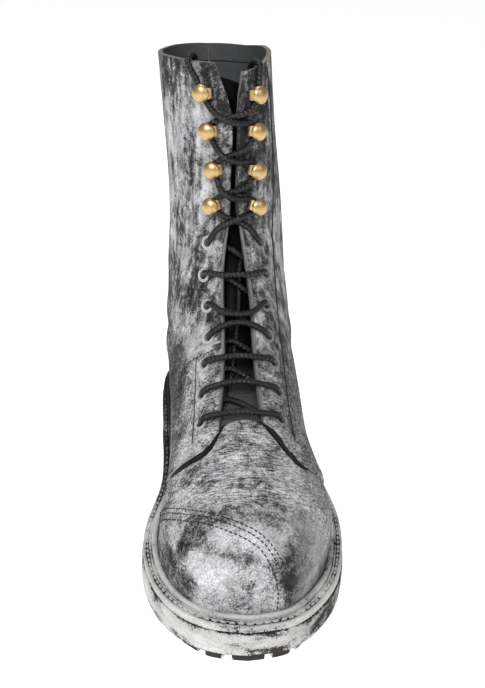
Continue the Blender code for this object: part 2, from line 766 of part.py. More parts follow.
def make_eyelets(metal):
    profile = (
        (EYELET_HOLE, 0.0), (EYELET_OUTER, 0.0), (EYELET_OUTER - 0.6, EYELET_HEIGHT),
        (EYELET_HOLE, EYELET_HEIGHT), (EYELET_HOLE, 0.0),
    )
    for side in SIDES:
        for number, (u, front) in enumerate(zip(EYELETS["u"], EYELETS["from_front"]), 1):
            name = f"eyelet_{side}_{number}"
            ring = add_object(name, turned(name, profile, RING_SEGMENTS), metal)
            ring.matrix_local = frame_at(side, u, v_from_front(side, u, front), STAY_TOP + EYELET_SEAT)


def make_hooks(metal):
    profile = (
        (0.0, 0.0), (HOOK_NECK, 0.0), (HOOK_NECK, HOOK_UNDER),
        (HOOK_DOME, HOOK_UNDER + 0.2), (HOOK_DOME * 0.72, HOOK_TOP - 0.7), (0.0, HOOK_TOP),
    )
    for side in SIDES:
        for number, (u, front) in enumerate(zip(HOOKS["u"], HOOKS[side]), 1):
            name = f"hook_{side}_{number}"
            hook = add_object(name, turned(name, profile, RING_SEGMENTS), metal)
            hook.matrix_local = frame_at(side, u, v_from_front(side, u, front), STAY_TOP + HOOK_SEAT)


def front_point(u, offset, lift):
    """A point by its signed distance from the front line, towards the outer side where positive."""
    side = "lateral" if offset > 0 else "medial"
    return skin(side, u, float(v_from_front(side, u, abs(offset))), lift)


def tube_mesh(name, route, radius, sides=8):
    """A round cord along a route of points, with flat ends."""
    path = np.array(route, float)
    run = unit(np.gradient(path, axis=0))
    normal = np.cross(run[0], (0.0, 1.0, 0.3))
    points, faces = [], []
    for here, ahead in zip(path, run):
        normal = unit(normal - ahead * np.dot(normal, ahead))
        other = np.cross(ahead, normal)
        for k in range(sides):
            angle = 2 * math.pi * (k + 0.5) / sides
            points.append(here + radius * (math.cos(angle) * normal + math.sin(angle) * other))
    for n in range(len(path) - 1):
        for k in range(sides):
            a, b = n * sides + k, n * sides + (k + 1) % sides
            faces.append([a, b, b + sides, a + sides])
    faces.append(list(range(sides)))
    faces.append([(len(path) - 1) * sides + k for k in range(sides)])
    return mesh_of(name, points, faces)


def strand(name, start, end):
    """A cord over the facings between two (u, offset, lift) places."""
    start, end = np.array(start), np.array(end)
    route = [front_point(*(start + (end - start) * f)) for f in np.linspace(0, 1, STRAND_POINTS)]
    return tube_mesh(name, route, LACE_RADIUS)


def make_lace_bars(cord):
    """Straight bars over all but the top pair of eyelets."""
    for number, (u, front) in enumerate(zip(EYELETS["u"], EYELETS["from_front"]), 1):
        if number > 1:
            name = f"lace_bar_{number}"
            add_object(name, strand(name, (u, -front, BAR_LIFT), (u, front, BAR_LIFT)), cord, CORD_SMOOTH)


def make_lace_crossings(cord):
    """Crossed strands from the top eyelets to the first hooks, and from each pair of hooks to the next."""
    stops = [(EYELETS["u"][0], EYELETS["from_front"][0], EYELETS["from_front"][0], BAR_LIFT)]
    for u, inner, outer in zip(HOOKS["u"], HOOKS["medial"], HOOKS["lateral"]):
        stops.append((u, inner - HOOK_INSIDE, outer - HOOK_INSIDE, STRAND_LIFT))
    for number in range(1, len(stops)):
        (u0, inner0, outer0, lift0), (u1, inner1, outer1, lift1) = stops[number - 1], stops[number]
        u0 += 0 if number == 1 else HOOK_PASS
        u1 -= HOOK_PASS
        name = f"lace_crossing_{number}"
        first = strand(name, (u0, -inner0, lift0), (u1, outer1, lift1))
        crossing = add_object(name, first, cord, CORD_SMOOTH)
        second = strand(name + "_second", (u0, outer0, lift0 + GAP), (u1, -inner1, lift1 + GAP))
        join = crossing.modifiers.new("second_strand", "BOOLEAN")
        join.operation = "UNION"
        join.object = hidden_helper(name + "_second", second)


# Lace ends: from the top hooks over the rim and a little way down inside. rise is above the rim.
LACE_ENDS = {
    "medial": columns(
        "u offset lift rise",
        (0.968, -17, 5.2, 0), (0.982, -18.8, 5.2, 0), (0.995, -20.8, 5.2, 0),
        (1, -21.7, 4.7, 1.7), (1, -22.2, 1.2, 3.3), (1, -22.8, -2.7, 2.6),
        (1, -23.3, -4.7, -0.8), (0.975, -23.8, -4.9, 0), (0.95, -24, -5, 0),
    ),
    "lateral": columns(
        "u offset lift rise",
        (0.968, 13.8, 5.2, 0), (0.982, 14.6, 5.2, 0), (0.995, 15.6, 5.2, 0),
        (1, 16.4, 4.7, 1.7), (1, 17.4, 1.2, 3.3), (1, 18.8, -2.7, 2.6),
        (1, 20.4, -4.7, -0.8), (0.975, 22, -4.9, 0), (0.95, 22.6, -5, 0),
    ),
}


def make_lace_ends(cord):
    for side in SIDES:
        way = LACE_ENDS[side]
        knots = np.array([front_point(*row[:3]) + (0, 0, row[3]) for row in zip(*way.values())])
        along = lengths(knots)
        at = np.linspace(0, along[-1], LACE_END_POINTS)
        route = np.column_stack([spline(along, knots[:, k], at) for k in range(3)])
        data = bpy.data.curves.new("lace_end_" + side, "CURVE")
        data.dimensions = "3D"
        data.bevel_depth = LACE_RADIUS * MM
        data.bevel_resolution = 2
        data.use_fill_caps = True
        line = data.splines.new("POLY")
        line.points.add(len(route) - 1)
        for point, place in zip(line.points, route):
            point.co = (*to_world(place), 1.0)
        data.materials.append(cord)
        end = bpy.data.objects.new("lace_end_" + side, data)
        end.parent = BOOT
        bpy.context.collection.objects.link(end)


def clear_scene():
    for old in list(bpy.data.objects):
        bpy.data.objects.remove(old, do_unlink=True)


clear_scene()
BOOT = bpy.data.objects.new("boot", None)
bpy.context.collection.objects.link(BOOT)

worn_leather = material("worn_leather", (0.34, 0.34, 0.35), 0.55)
tongue_leather = material("tongue_leather", (0.03, 0.03, 0.032), 0.6)
welt_leather = material("welt_leather", (0.42, 0.41, 0.39), 0.7)
pale_rubber = material("pale_rubber", (0.52, 0.50, 0.46), 0.85)
dark_rubber = material("dark_rubber", (0.10, 0.095, 0.09), 0.9)
insole_leather = material("insole_leather", (0.12, 0.10, 0.085), 0.8)
worn_metal = material("worn_metal", (0.70, 0.70, 0.68), 0.4, 0.8)
brass = material("brass", (0.72, 0.52, 0.27), 0.35, 1.0)
waxed_cord = material("waxed_cord", (0.045, 0.045, 0.048), 0.7)

make_outsole(dark_rubber)
make_heel(dark_rubber)
make_midsole(pale_rubber)
make_welt(welt_leather)
make_insole(insole_leather)
make_upper(worn_leather)
make_tongue(tongue_leather)
make_toe_cap(worn_leather)
for side in SIDES:
    make_eyestay(side, worn_leather)
make_eyelets(worn_metal)
make_hooks(brass)
make_lace_bars(waxed_cord)
make_lace_crossings(waxed_cord)
make_lace_ends(waxed_cord)
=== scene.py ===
"""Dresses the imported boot: rubbed paint on black leather, brass hooks, waxed laces and a dirty sole.

Lengths are millimetres in the boot's own frame: x towards the outer side of the foot, s from the toe tip
to the heel and z up from the floor. Meshes are turned into metres when they are made.
"""

import math

import bmesh
import bpy
import numpy as np
from bpy.props import FloatProperty, FloatVectorProperty, PointerProperty
from mathutils import Matrix, Vector


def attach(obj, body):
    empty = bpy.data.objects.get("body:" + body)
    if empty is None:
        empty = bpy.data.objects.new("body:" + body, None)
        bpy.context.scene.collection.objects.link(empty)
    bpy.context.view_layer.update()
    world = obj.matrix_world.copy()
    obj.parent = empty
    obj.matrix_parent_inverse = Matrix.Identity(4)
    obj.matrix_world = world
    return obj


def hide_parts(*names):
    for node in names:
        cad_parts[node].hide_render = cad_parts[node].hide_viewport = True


bl_info = {
    "name": "Worn lace-up boot",
    "version": (1, 0, 0),
    "blender": (4, 5, 0),
    "location": "3D View > Sidebar > Boot",
    "description": "Builds the finish of a tall lace-up boot around its packed frame",
    "category": "Add Mesh",
}

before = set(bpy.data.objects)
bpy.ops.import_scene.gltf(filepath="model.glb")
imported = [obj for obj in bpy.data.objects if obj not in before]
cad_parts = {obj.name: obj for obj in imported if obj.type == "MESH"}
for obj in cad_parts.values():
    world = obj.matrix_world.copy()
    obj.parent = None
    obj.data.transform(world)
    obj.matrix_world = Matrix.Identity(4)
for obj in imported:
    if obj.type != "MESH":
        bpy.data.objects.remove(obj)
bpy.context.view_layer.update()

MM = 0.001
SIDES = ("medial", "lateral")
SOLE_LENGTH = 300.0
# Thicknesses of the sole's layers, and how far its lugs stand in from the edge.
WELT, MIDSOLE, PLATE, LUG = 4.5, 9.5, 4.5, 4.0
LUG_INSET, PLATE_LIP = 4.0, 0.5
# At the toe the lugs stand further out, which fades over this span of s.
TOE_LUGS_OUT, TOE_LUGS_SPAN = 1.7, (4.0, 16.0)
# The welt's lip, from the sole's edge, and the foot of its bead, from the foot of the upper.
WELT_LIP, BEAD_FOOT = 1.0, 4.4
HEEL_BREAST = 219.0
WAIST_START, WAIST_BLEND = 158.0, 8.0
# Grooves in the tread and the heel.
EDGE_GROOVES, EDGE_GROOVE_SPAN, EDGE_GROOVE_WIDTH = 9, (0.03, 0.40), 4.2
EDGE_GROOVE_REACH, EDGE_GROOVE_OUT = 19.0, 4.0
CROSS_GROOVES, CROSS_GROOVE_WIDTH, CROSS_GROOVE_HALF = (40, 62, 84, 106, 128), 5.0, 22.0
HEEL_GROOVES, HEEL_GROOVE_WIDTH, HEEL_GROOVE, HEEL_GROOVE_HALF = (238, 258, 278), 4.5, 4.0, 60.0
GROOVE_OVERCUT = 8.0
GAP = 0.3
# The hide, the step where the quarters lie on the vamp, and the overlays on top.
WALL = 1.8
QUARTER_STEP = 1.0
OVERLAY_GAP, OVERLAY = 0.3, 1.0
STAY_TOP = QUARTER_STEP + OVERLAY_GAP + OVERLAY
FOOT_CLEARANCE = 0.6
# Lengths along the form that place its sections: foot, back seam and the whole.
FOOT_RUN, SEAM_RUN, FORM_RUN = 320.0, 240.0, 480.0
# Points along outlines, rails and sections.
OUTLINE_POINTS, FINE_OUTLINE_POINTS = 161, 400
RAIL_FOOT_POINTS, RAIL_SEAM_POINTS = 120, 60
QUARTER_TURN_POINTS = 90
DENSE_U, DENSE_V = 420, 120


def columns(header, *rows):
    """A table with named columns, as one array for each column."""
    return dict(zip(header.split(), np.array(rows, dtype=float).T))


SOLE_PLAN = columns(
    "s x_medial x_lateral",
    (0, -7, -7),
    (5.5, -27, 15.5),
    (20, -42.6, 31),
    (45, -54, 46),
    (78, -59, 55.4),
    (108, -56.3, 59),
    (145, -47.5, 56),
    (185, -44.5, 46.5),
    (222, -44, 39.5),
    (256, -43, 36.5),
    (281, -36, 29),
    (295, -21.5, 15),
    (300, -3.5, -3.5),
)
SEAT = columns(
    "s z",
    (0, 33), (35, 27), (72, 23), (100, 22.5), (135, 22.5), (180, 30.5), (218, 38), (255, 40), (300, 40.5),
)
BACK_SEAM = columns(
    "z s x",
    (37, 292.5, -3.5),
    (60, 294, -3.4),
    (85, 292.5, -3.9),
    (125, 286, -5.5),
    (165, 283, -8),
    (205, 285, -11),
    (240, 289, -13.5),
    (272, 292.4, -15.5),
)
FEATHER = columns("s inset", (0, 10), (60, 10), (140, 9), (200, 7), (300, 7))
SECTION = "low s_high z_high x_high x_medial x_lateral eta n_low n_high"
FOOT = columns(
    SECTION,
    (10, 11.5, 47, -7, -7, -7, 0.5, 1.3, 2.0),
    (14, 16, 57, -6.8, -25, 11.5, 0.46, 1.3, 2.1),
    (25, 27, 67, -6.5, -37, 24.5, 0.42, 1.3, 2.2),
    (48, 48, 74.5, -6, -46, 38.5, 0.38, 1.3, 2.2),
    (76, 74, 80, -5, -48, 45.5, 0.36, 1.3, 2.1),
    (108, 100, 88, -4, -44.5, 45.5, 0.34, 1.3, 2.0),
    (150, 122, 100, -3, -40.8, 41.8, 0.33, 1.2, 2.0),
    (178, 140, 117, -2.8, -39.8, 40.5, 0.35, 1.2, 2.0),
    (212, 156, 139, -3.2, -39.6, 38.3, 0.38, 1.3, 2.0),
    (252, 168, 162, -4.7, -40.4, 37, 0.42, 1.4, 2.1),
    (281, 174, 178, -5.2, -40.6, 36, 0.46, 1.8, 2.1),
    (292.5, 176, 186, -5.7, -40.3, 34.5, 0.5, 2.0, 2.1),
)
SHAFT = columns(
    SECTION,
    (80, 177.5, 196, -6.4, -40.7, 32, 0.5, 2.0, 2.2),
    (125, 178.5, 210, -6.6, -40.2, 29, 0.5, 2.1, 2.2),
    (165, 179, 226, -6.6, -41.2, 25.5, 0.5, 2.1, 2.2),
    (205, 180, 242, -7.2, -43.8, 22, 0.5, 2.1, 2.2),
    (240, 180.5, 256, -9, -46.4, 19.4, 0.5, 2.1, 2.2),
    (272, 180.6, 268, -11.5, -48.8, 17, 0.5, 2.1, 2.2),
)
# How far the collar stands above the last section, from the back seam (0) to the front line (1).
COLLAR_RISE = {
    "medial": columns("v rise", (0, 0), (0.3, 0), (0.5, 1.5), (0.7, 4), (0.93, 5), (1, 2.5)),
    "lateral": columns(
        "v rise",
        (0, 0), (0.2, 1.5), (0.4, 5.5), (0.6, 6.5), (0.75, 5), (0.93, 0.5), (1, 2.5),
    ),
}
# Where along the form that rise begins, as u.
RISE_FROM = 0.9
# Panel edges, as where they cross each section: v from the welt (0) to the front line (1).
CAP_EDGE = {
    "medial": columns(
        "v u",
        (0, 0.25), (0.3, 0.213), (0.49, 0.173), (0.645, 0.138), (0.74, 0.122), (0.84, 0.107), (1, 0.0885),
    ),
    "lateral": columns(
        "v u",
        (0, 0.0435), (0.2, 0.0432), (0.41, 0.0428), (0.535, 0.0452), (0.656, 0.0514), (0.753, 0.0603),
        (0.856, 0.0728), (1, 0.0885),
    ),
}
QUARTER_EDGE = {
    "medial": columns(
        "v u",
        (0, 0.31), (0.3, 0.27), (0.52, 0.236), (0.66, 0.227), (0.8, 0.238), (0.89, 0.271), (1, 0.283),
    ),
    "lateral": columns(
        "v u",
        (0, 0.31), (0.3, 0.265), (0.55, 0.222), (0.66, 0.216), (0.75, 0.238), (0.86, 0.274), (1, 0.283),
    ),
}
# Along the throat: distance from the front line to the facing's edge and to the facing's outer seam.
THROAT = columns(
    "u gap stay",
    (0.26, 12.5, 29),
    (0.30, 12.0, 29),
    (0.35, 10.2, 29),
    (0.41, 8.6, 28.5),
    (0.50, 8.2, 28),
    (0.55, 6.8, 28),
    (0.61, 4.0, 28),
    (0.68, 1.6, 28),
    (0.91, 1.4, 28),
    (0.95, 3.4, 28),
    (1.0, 8.0, 27),
)
# Eyelets from the top down, with their distance from the front line on each side.
EYELETS = columns(
    "u medial lateral",
    (0.606, 15.8, 15.8), (0.552, 19.2, 19.2), (0.496, 18, 18), (0.442, 18, 18), (0.401, 21.2, 21.2),
    (0.353, 23, 23), (0.294, 23, 23),
)
# Hooks from the bottom up, in the same way.
HOOKS = columns(
    "u medial lateral",
    (0.704, 11.2, 12.9), (0.795, 10.8, 11.7), (0.877, 13.7, 10.6), (0.952, 15.4, 12.2),
)
TONGUE = columns("u half_width", (0.235, 24), (0.5, 30), (0.85, 26), (0.975, 16))
# Where the quarters' rolled front edges, black tubes that also stand for the shadow under them, begin and
# end, as v.
ROLLED_EDGE = {"medial": (0.44, 0.90), "lateral": (0.58, 0.90)}
# The inner side's slanting edge, by distance from the front line, and the reach of a run along it.
SLANT_REACH = (10.5, 37.0)
SLANT = columns("distance u", (11.5, 0.427), (16.3, 0.4275), (22, 0.429), (29, 0.4335), (35.5, 0.4385))
# Lace ends: from the top hooks over the rim and a little way down inside. rise is above the rim.
LACE_ENDS = {
    "medial": columns(
        "u offset lift rise",
        (0.968, -17, 5.2, 0), (0.982, -18.8, 5.2, 0), (0.995, -20.8, 5.2, 0),
        (1, -21.7, 4.7, 1.7), (1, -22.2, 1.2, 3.3), (1, -22.8, -2.7, 2.6),
        (1, -23.3, -4.7, -0.8), (0.975, -23.8, -4.9, 0), (0.95, -24, -5, 0),
    ),
    "lateral": columns(
        "u offset lift rise",
        (0.968, 13.8, 5.2, 0), (0.982, 14.6, 5.2, 0), (0.995, 15.6, 5.2, 0),
        (1, 16.4, 4.7, 1.7), (1, 17.4, 1.2, 3.3), (1, 18.8, -2.7, 2.6),
        (1, 20.4, -4.7, -0.8), (0.975, 22, -4.9, 0), (0.95, 22.6, -5, 0),
    ),
}
# Soft folds: a trough (depth below 0) or a ridge at u, which leans by skew from the first v to the last.
FOLD_FADE = 0.12
FOLDS = {
    "medial": columns(
        "u skew depth width v_from v_to",
        (0.205, 0.012, -0.5, 2.6, 0.45, 1.1),
        (0.190, 0.010, 0.35, 2.6, 0.50, 1.1),
        (0.176, 0.004, -0.45, 2.4, 0.55, 1.1),
        (0.222, 0.014, 0.4, 2.8, 0.55, 1.1),
        (0.262, 0.010, -0.5, 3.0, 0.80, 1.1),
        (0.520, -0.060, -1.3, 6.0, 0.25, 0.72),
        (0.560, -0.070, 1.2, 7.0, 0.22, 0.75),
        (0.605, -0.070, -1.2, 6.5, 0.20, 0.70),
        (0.645, -0.060, 0.8, 7.0, 0.25, 0.70),
        (0.470, -0.040, 0.8, 6.0, 0.25, 0.60),
        (0.700, -0.030, -0.6, 8.0, 0.10, 0.55),
    ),
    "lateral": columns(
        "u skew depth width v_from v_to",
        (0.205, -0.010, -0.5, 2.6, 0.50, 1.1),
        (0.190, -0.006, 0.35, 2.6, 0.55, 1.1),
        (0.176, -0.004, -0.45, 2.4, 0.60, 1.1),
        (0.222, -0.008, 0.4, 2.8, 0.65, 1.1),
        (0.262, 0.004, -0.5, 3.0, 0.80, 1.1),
        (0.500, -0.040, -0.9, 7.0, 0.20, 0.65),
        (0.545, -0.050, 0.8, 7.0, 0.20, 0.65),
        (0.600, -0.050, -0.8, 7.0, 0.20, 0.60),
        (0.660, -0.040, 0.5, 8.0, 0.20, 0.60),
    ),
}
# Where the paint is rubbed to the leather (tone near 0) or still thick (near 1), as soft patches. Some
# patches are painted highlight and painted shade instead.
WEAR_AND_LIGHT = columns(
    "x s z reach_x reach_s reach_z tone",
    (-39, 197, 265, 14, 16, 10, 0.33),
    (-31, 188, 262, 4, 8, 10, 0.60),
    (-36, 195, 248, 5, 8, 10, 0.72),
    (-40, 201, 249, 3, 5, 5, 0.25),
    (-25, 185, 247, 7, 8, 13, 0.85),
    (-40, 207, 223, 9, 14, 14, 0.78),
    (-31, 191, 221, 3, 5, 13, 0.33),
    (-40, 212, 209, 4, 6, 6, 0.30),
    (-18, 178, 260, 7, 7, 13, 0.15),
    (-18, 180, 203, 6, 5, 12, 0.70),
    (-28, 188, 190, 6, 7, 12, 0.65),
    (-37, 204, 183, 4, 7, 9, 0.38),
    (-39, 212, 192, 7, 12, 14, 0.67),
    (-12.6, 179, 235, 5, 6, 40, 0.52),
    (-3, 179, 235, 5, 6, 45, 0.28),
    (5, 184, 246, 8, 8, 30, 0.27),
    (15, 189, 215, 5, 10, 25, 0.50),
    (12, 196, 258, 6, 14, 14, 0.42),
    (-36, 204, 150, 6, 9, 7, 0.42),
    (-36, 194, 135, 6, 9, 7, 0.32),
    (-28, 174, 138, 5, 6, 8, 0.30),
    (-32, 189, 148, 4, 7, 7, 0.75),
    (-37, 204, 157, 5, 8, 5, 0.65),
    (-27, 174, 143, 5, 5, 7, 0.28),
    (-37, 186, 116, 5, 10, 9, 0.68),
    (-33, 174, 119, 4, 6, 6, 0.72),
    (-26, 155, 114, 8, 9, 7, 0.80),
    (-39, 176, 86, 7, 16, 14, 0.30),
    (-23, 148, 112, 7, 5, 5, 0.36),
    (-26, 143, 102, 7, 8, 6, 0.70),
    (-38, 153, 77, 5, 10, 14, 0.32),
    (-38, 202, 66, 10, 16, 12, 0.26),
    (-37, 212, 104, 10, 14, 20, 0.42),
    (-36, 238, 78, 10, 14, 22, 0.42),
    (-25, 126, 91, 10, 14, 8, 0.62),
    # Painted shade beside the rolled edge below the lowest inner eyelet.
    (-21, 108, 88, 5, 6, 5, 0.34),
    (-37, 102, 73, 6, 8, 5, 0.78),
    (10, 174, 167, 7, 8, 9, 0.50),
    (11, 164, 144, 7, 8, 8, 0.46),
    (20, 157, 124, 7, 9, 9, 0.42),
    (26, 167, 124, 3, 5, 9, 0.55),
    (30, 143, 95, 10, 18, 16, 0.45),
    (26, 115, 84, 8, 12, 9, 0.47),
    (-35, 77, 72, 4, 5, 4, 0.32),
    (-28, 64, 74, 6, 5, 4, 0.34),
    (-7, 88, 84, 8, 6, 5, 0.42),
    (9, 77, 80, 6, 9, 6, 0.33),
    (3, 60, 77, 4, 4, 4, 0.30),
    (-2, 70, 79, 6, 6, 4, 0.48),
    (-30, 57, 72, 10, 6, 6, 0.82),
    (-39, 61, 66, 5, 5, 5, 0.85),
    (4, 47, 74, 10, 8, 6, 0.52),
    (19, 56, 72, 5, 5, 5, 0.75),
    (13, 43, 71, 6, 4, 4, 0.54),
    (23, 34, 62, 4, 5, 5, 0.52),
    (33, 47, 59, 10, 20, 12, 0.66),
    (-10, 75, 80, 30, 25, 15, 0.72),
    (-24, 16, 52, 10, 6, 6, 1.05),
    (-34, 24, 53, 7, 6, 6, 0.80),
    (-2, 23, 65, 9, 7, 5, 0.88),
    (-34, 36, 63, 5, 5, 4, 0.40),
    (-20, 39, 72, 5, 4, 3, 0.42),
    (-39, 33, 56, 3, 4, 5, 0.24),
    (-36, 24, 44, 4, 5, 5, 0.27),
    (-44, 39, 45, 3, 5, 4, 0.25),
    (-43, 44, 56, 4, 6, 5, 0.72),
    (-47, 55, 53, 5, 8, 8, 0.60),
    (-9, 18, 60, 5, 5, 4, 0.34),
    (-18, 27, 66, 6, 5, 4, 0.85),
    (-7, 14, 55, 8, 5, 5, 0.65),
    (-12, 12, 49, 8, 5, 4, 0.58),
    (-12, 11, 40, 25, 8, 5, 0.66),
    (13, 16, 46, 3.2, 6, 9, 0.22),
    (-41, 32, 34, 7, 8, 6, 0.42),
    (22, 23, 47, 8, 8, 8, 0.50),
)
# The tone where no patch reaches, and how soon a patch takes over from it.
BASE_TONE, BASE_WEIGHT = 0.5, 0.12


def spline(knots, values, at):
    """Natural cubic through the knots, read at the given places."""
    knots, values, at = np.asarray(knots, float), np.asarray(values, float), np.asarray(at, float)
    n, h = len(knots), np.diff(knots)
    system = np.eye(n)
    right = np.zeros(n)
    for i in range(1, n - 1):
        system[i, i - 1:i + 2] = h[i - 1], 2 * (h[i - 1] + h[i]), h[i]
        right[i] = 6 * ((values[i + 1] - values[i]) / h[i] - (values[i] - values[i - 1]) / h[i - 1])
    bend = np.linalg.solve(system, right)
    k = np.clip(np.searchsorted(knots, at) - 1, 0, n - 2)
    a, b = (knots[k + 1] - at) / h[k], (at - knots[k]) / h[k]
    cubic = (a ** 3 - a) * bend[k] + (b ** 3 - b) * bend[k + 1]
    return a * values[k] + b * values[k + 1] + cubic * h[k] ** 2 / 6


def lengths(points):
    """Distance along a polyline, from 0 at its first point."""
    steps = np.linalg.norm(np.diff(points, axis=0), axis=1)
    return np.concatenate([[0.0], np.cumsum(steps)])


def resample(points, fractions):
    """Points at fractions of a polyline's length."""
    along = lengths(points)
    at = np.asarray(fractions) * along[-1]
    return np.stack([np.interp(at, along, points[:, k]) for k in range(points.shape[1])], axis=1)


def smooth_route(knots, step):
    """A smooth curve through knots, as points about a step apart."""
    knots = np.asarray(knots, float)
    along = lengths(knots)
    fine = np.linspace(0, along[-1], 12 * len(knots))
    curve = np.column_stack([spline(along, knots[:, k], fine) for k in range(3)])
    return resample(curve, np.linspace(0, 1, int(lengths(curve)[-1] / step) + 2))


def unit(vectors):
    """The vectors, each made 1 long."""
    return vectors / np.linalg.norm(vectors, axis=-1, keepdims=True)


def rounded_step(value, low, high):
    """0 below low, 1 above high and smooth between."""
    t = np.clip((np.asarray(value, float) - low) / (high - low), 0, 1)
    return t * t * (3 - 2 * t)


def seat_z(s):
    """Height of the welt's top."""
    return spline(SEAT["s"], SEAT["z"], s)


def sole_edge(side, count):
    """One side of the sole's plan outline from toe tip to heel, as (x, s)."""
    knots = np.stack([SOLE_PLAN["x_" + side], SOLE_PLAN["s"]], axis=1)
    along = lengths(knots)
    t = np.linspace(0, along[-1], FINE_OUTLINE_POINTS)
    fine = np.stack([spline(along, knots[:, k], t) for k in range(2)], axis=1)
    return resample(fine, np.linspace(0, 1, count))


def inset_edges(by, count):
    """Both sides of the sole's outline, moved inwards, with their shared end points."""
    medial, lateral = sole_edge("medial", count), sole_edge("lateral", count)
    loop = np.concatenate([medial, lateral[-2:0:-1]])
    run = np.roll(loop, -1, axis=0) - np.roll(loop, 1, axis=0)
    inward = np.stack([run[:, 1], -run[:, 0]], axis=1) / np.linalg.norm(run, axis=1)[:, None]
    moved = loop + np.reshape(by if np.isscalar(by) else by(loop[:, 1]), (-1, 1)) * inward
    return {"medial": moved[:count], "lateral": np.concatenate([moved[:1], moved[:count - 2:-1]])}


def feather_inset(s):
    """Distance from the sole's edge to the foot of the upper."""
    return np.interp(s, FEATHER["s"], FEATHER["inset"])


def low_rail(side):
    """The upper's lower edge: round the welt to the heel, then up the back seam."""
    edge = inset_edges(feather_inset, RAIL_FOOT_POINTS)[side]
    foot = np.column_stack([edge, seat_z(edge[:, 1]) - WELT + FOOT_CLEARANCE])
    z = np.linspace(foot[-1, 2], BACK_SEAM["z"][-1], RAIL_SEAM_POINTS)[1:]
    seam = np.column_stack([*(spline(BACK_SEAM["z"], BACK_SEAM[axis], z) for axis in "xs"), z])
    return np.concatenate([foot, seam]), len(foot)


def section_knots():
    """Each section's place along the form, 0 at the toe and 1 at the collar, and along its lower rail."""
    starts = []
    for side in SIDES:
        rail, split = low_rail(side)
        along = lengths(rail)
        foot = np.interp(FOOT["low"], rail[:split, 1], along[:split]) / along[split - 1]
        foot[0], foot[-1] = 0.0, 1.0
        seam = np.interp(SHAFT["low"], rail[split - 1:, 2], along[split - 1:]) - along[split - 1]
        starts.append(np.concatenate([foot, 1 + seam / (along[-1] - along[split - 1])]))
    start = np.mean(starts, axis=0)
    high = np.column_stack([np.concatenate([FOOT[n], SHAFT[n]]) for n in ("x_high", "s_high", "z_high")])
    reach = np.where(start < 1, start * FOOT_RUN, FOOT_RUN + (start - 1) * SEAM_RUN)
    return (reach / reach[-1] + lengths(high) / lengths(high)[-1]) / 2, start


def dense_form(side):
    """The upper's outer surface on one side, closed along the front, as a fine grid of sections."""
    rail, split = low_rail(side)
    along = lengths(rail)
    knots, start = section_knots()
    rows = {name: np.concatenate([FOOT[name], SHAFT[name]]) for name in SECTION.split()}
    u = np.linspace(0, 1, DENSE_U)
    at = {name: spline(knots, rows[name], u) for name in SECTION.split()}
    begin = np.clip(spline(knots, start, u), 0, 2)
    heel = along[split - 1]
    reach = np.where(begin < 1, begin * heel, heel + (begin - 1) * (along[-1] - heel))
    angle = np.linspace(0, math.pi / 2, QUARTER_TURN_POINTS)
    grid = np.zeros((DENSE_U, DENSE_V, 3))
    for i in range(DENSE_U):
        first = np.array([np.interp(reach[i], along, rail[:, k]) for k in range(3)])
        last = np.array([at["x_high"][i], at["s_high"][i], at["z_high"][i]])
        wide, eta = at["x_" + side][i], at["eta"][i]
        p, q = 2 / at["n_low"][i], 2 / at["n_high"][i]
        across = np.concatenate([
            first[0] + (wide - first[0]) * np.sin(angle) ** p,
            (last[0] + (wide - last[0]) * np.cos(angle) ** q)[1:],
        ])
        rise = np.concatenate([eta * (1 - np.cos(angle) ** p), (eta + (1 - eta) * np.sin(angle) ** q)[1:]])
        climb = first[1:] + rise[:, None] * (last[1:] - first[1:])
        grid[i] = resample(np.column_stack([across, climb]), np.linspace(0, 1, DENSE_V))
    share = np.clip((u - RISE_FROM) / (1 - RISE_FROM), 0, 1) ** 2
    rise = np.interp(np.linspace(0, 1, DENSE_V), COLLAR_RISE[side]["v"], COLLAR_RISE[side]["rise"])
    grid[..., 2] += share[:, None] * rise
    return grid


def build_form():
    """The dense grid and its outward normals for both sides, equal along the lines that the sides share."""
    grids = {side: dense_form(side) for side in SIDES}
    normals = {}
    for side in SIDES:
        across = np.cross(np.gradient(grids[side], axis=0), np.gradient(grids[side], axis=1))
        across[0, -1] = across[0, -2] + across[1, -1]
        normals[side] = unit(across * (-1.0 if side == "medial" else 1.0))
    shared = np.linalg.norm(grids["medial"] - grids["lateral"], axis=-1) < 1e-6
    mean = unit(normals["medial"] + normals["lateral"])
    for side in SIDES:
        normals[side][shared] = mean[shared]
    return grids, normals


GRIDS, NORMALS = build_form()
GIRTHS = {side: np.linalg.norm(np.diff(GRIDS[side], axis=1), axis=-1).sum(axis=1) for side in SIDES}


def skin(side, u, v, lift):
    """Points on the form: u from toe to collar, v from the lower rail to the front line, lift outwards."""
    u, v = np.broadcast_arrays(np.asarray(u, float), np.asarray(v, float))
    a, b = np.clip(u, 0, 1) * (DENSE_U - 1), np.clip(v, 0, 1) * (DENSE_V - 1)
    i, j = np.minimum(a.astype(int), DENSE_U - 2), np.minimum(b.astype(int), DENSE_V - 2)
    f, g = (a - i)[..., None], (b - j)[..., None]
    read = [
        (1 - f) * (1 - g) * data[i, j] + f * (1 - g) * data[i + 1, j]
        + (1 - f) * g * data[i, j + 1] + f * g * data[i + 1, j + 1]
        for data in (GRIDS[side], NORMALS[side])
    ]
    return read[0] + np.asarray(lift)[..., None] * unit(read[1])


def girth(side, u):
    """Length of a section from the lower rail to the front line."""
    return np.interp(u, np.linspace(0, 1, DENSE_U), GIRTHS[side])


def v_from_front(side, u, distance):
    """Where a section lies a distance along the skin from the front line."""
    return 1 - np.asarray(distance) / girth(side, u)


def front_point(u, offset, lift):
    """A point by its signed distance from the front line, towards the outer side where positive."""
    side = "lateral" if offset > 0 else "medial"
    return skin(side, u, v_from_front(side, u, abs(offset)), lift)


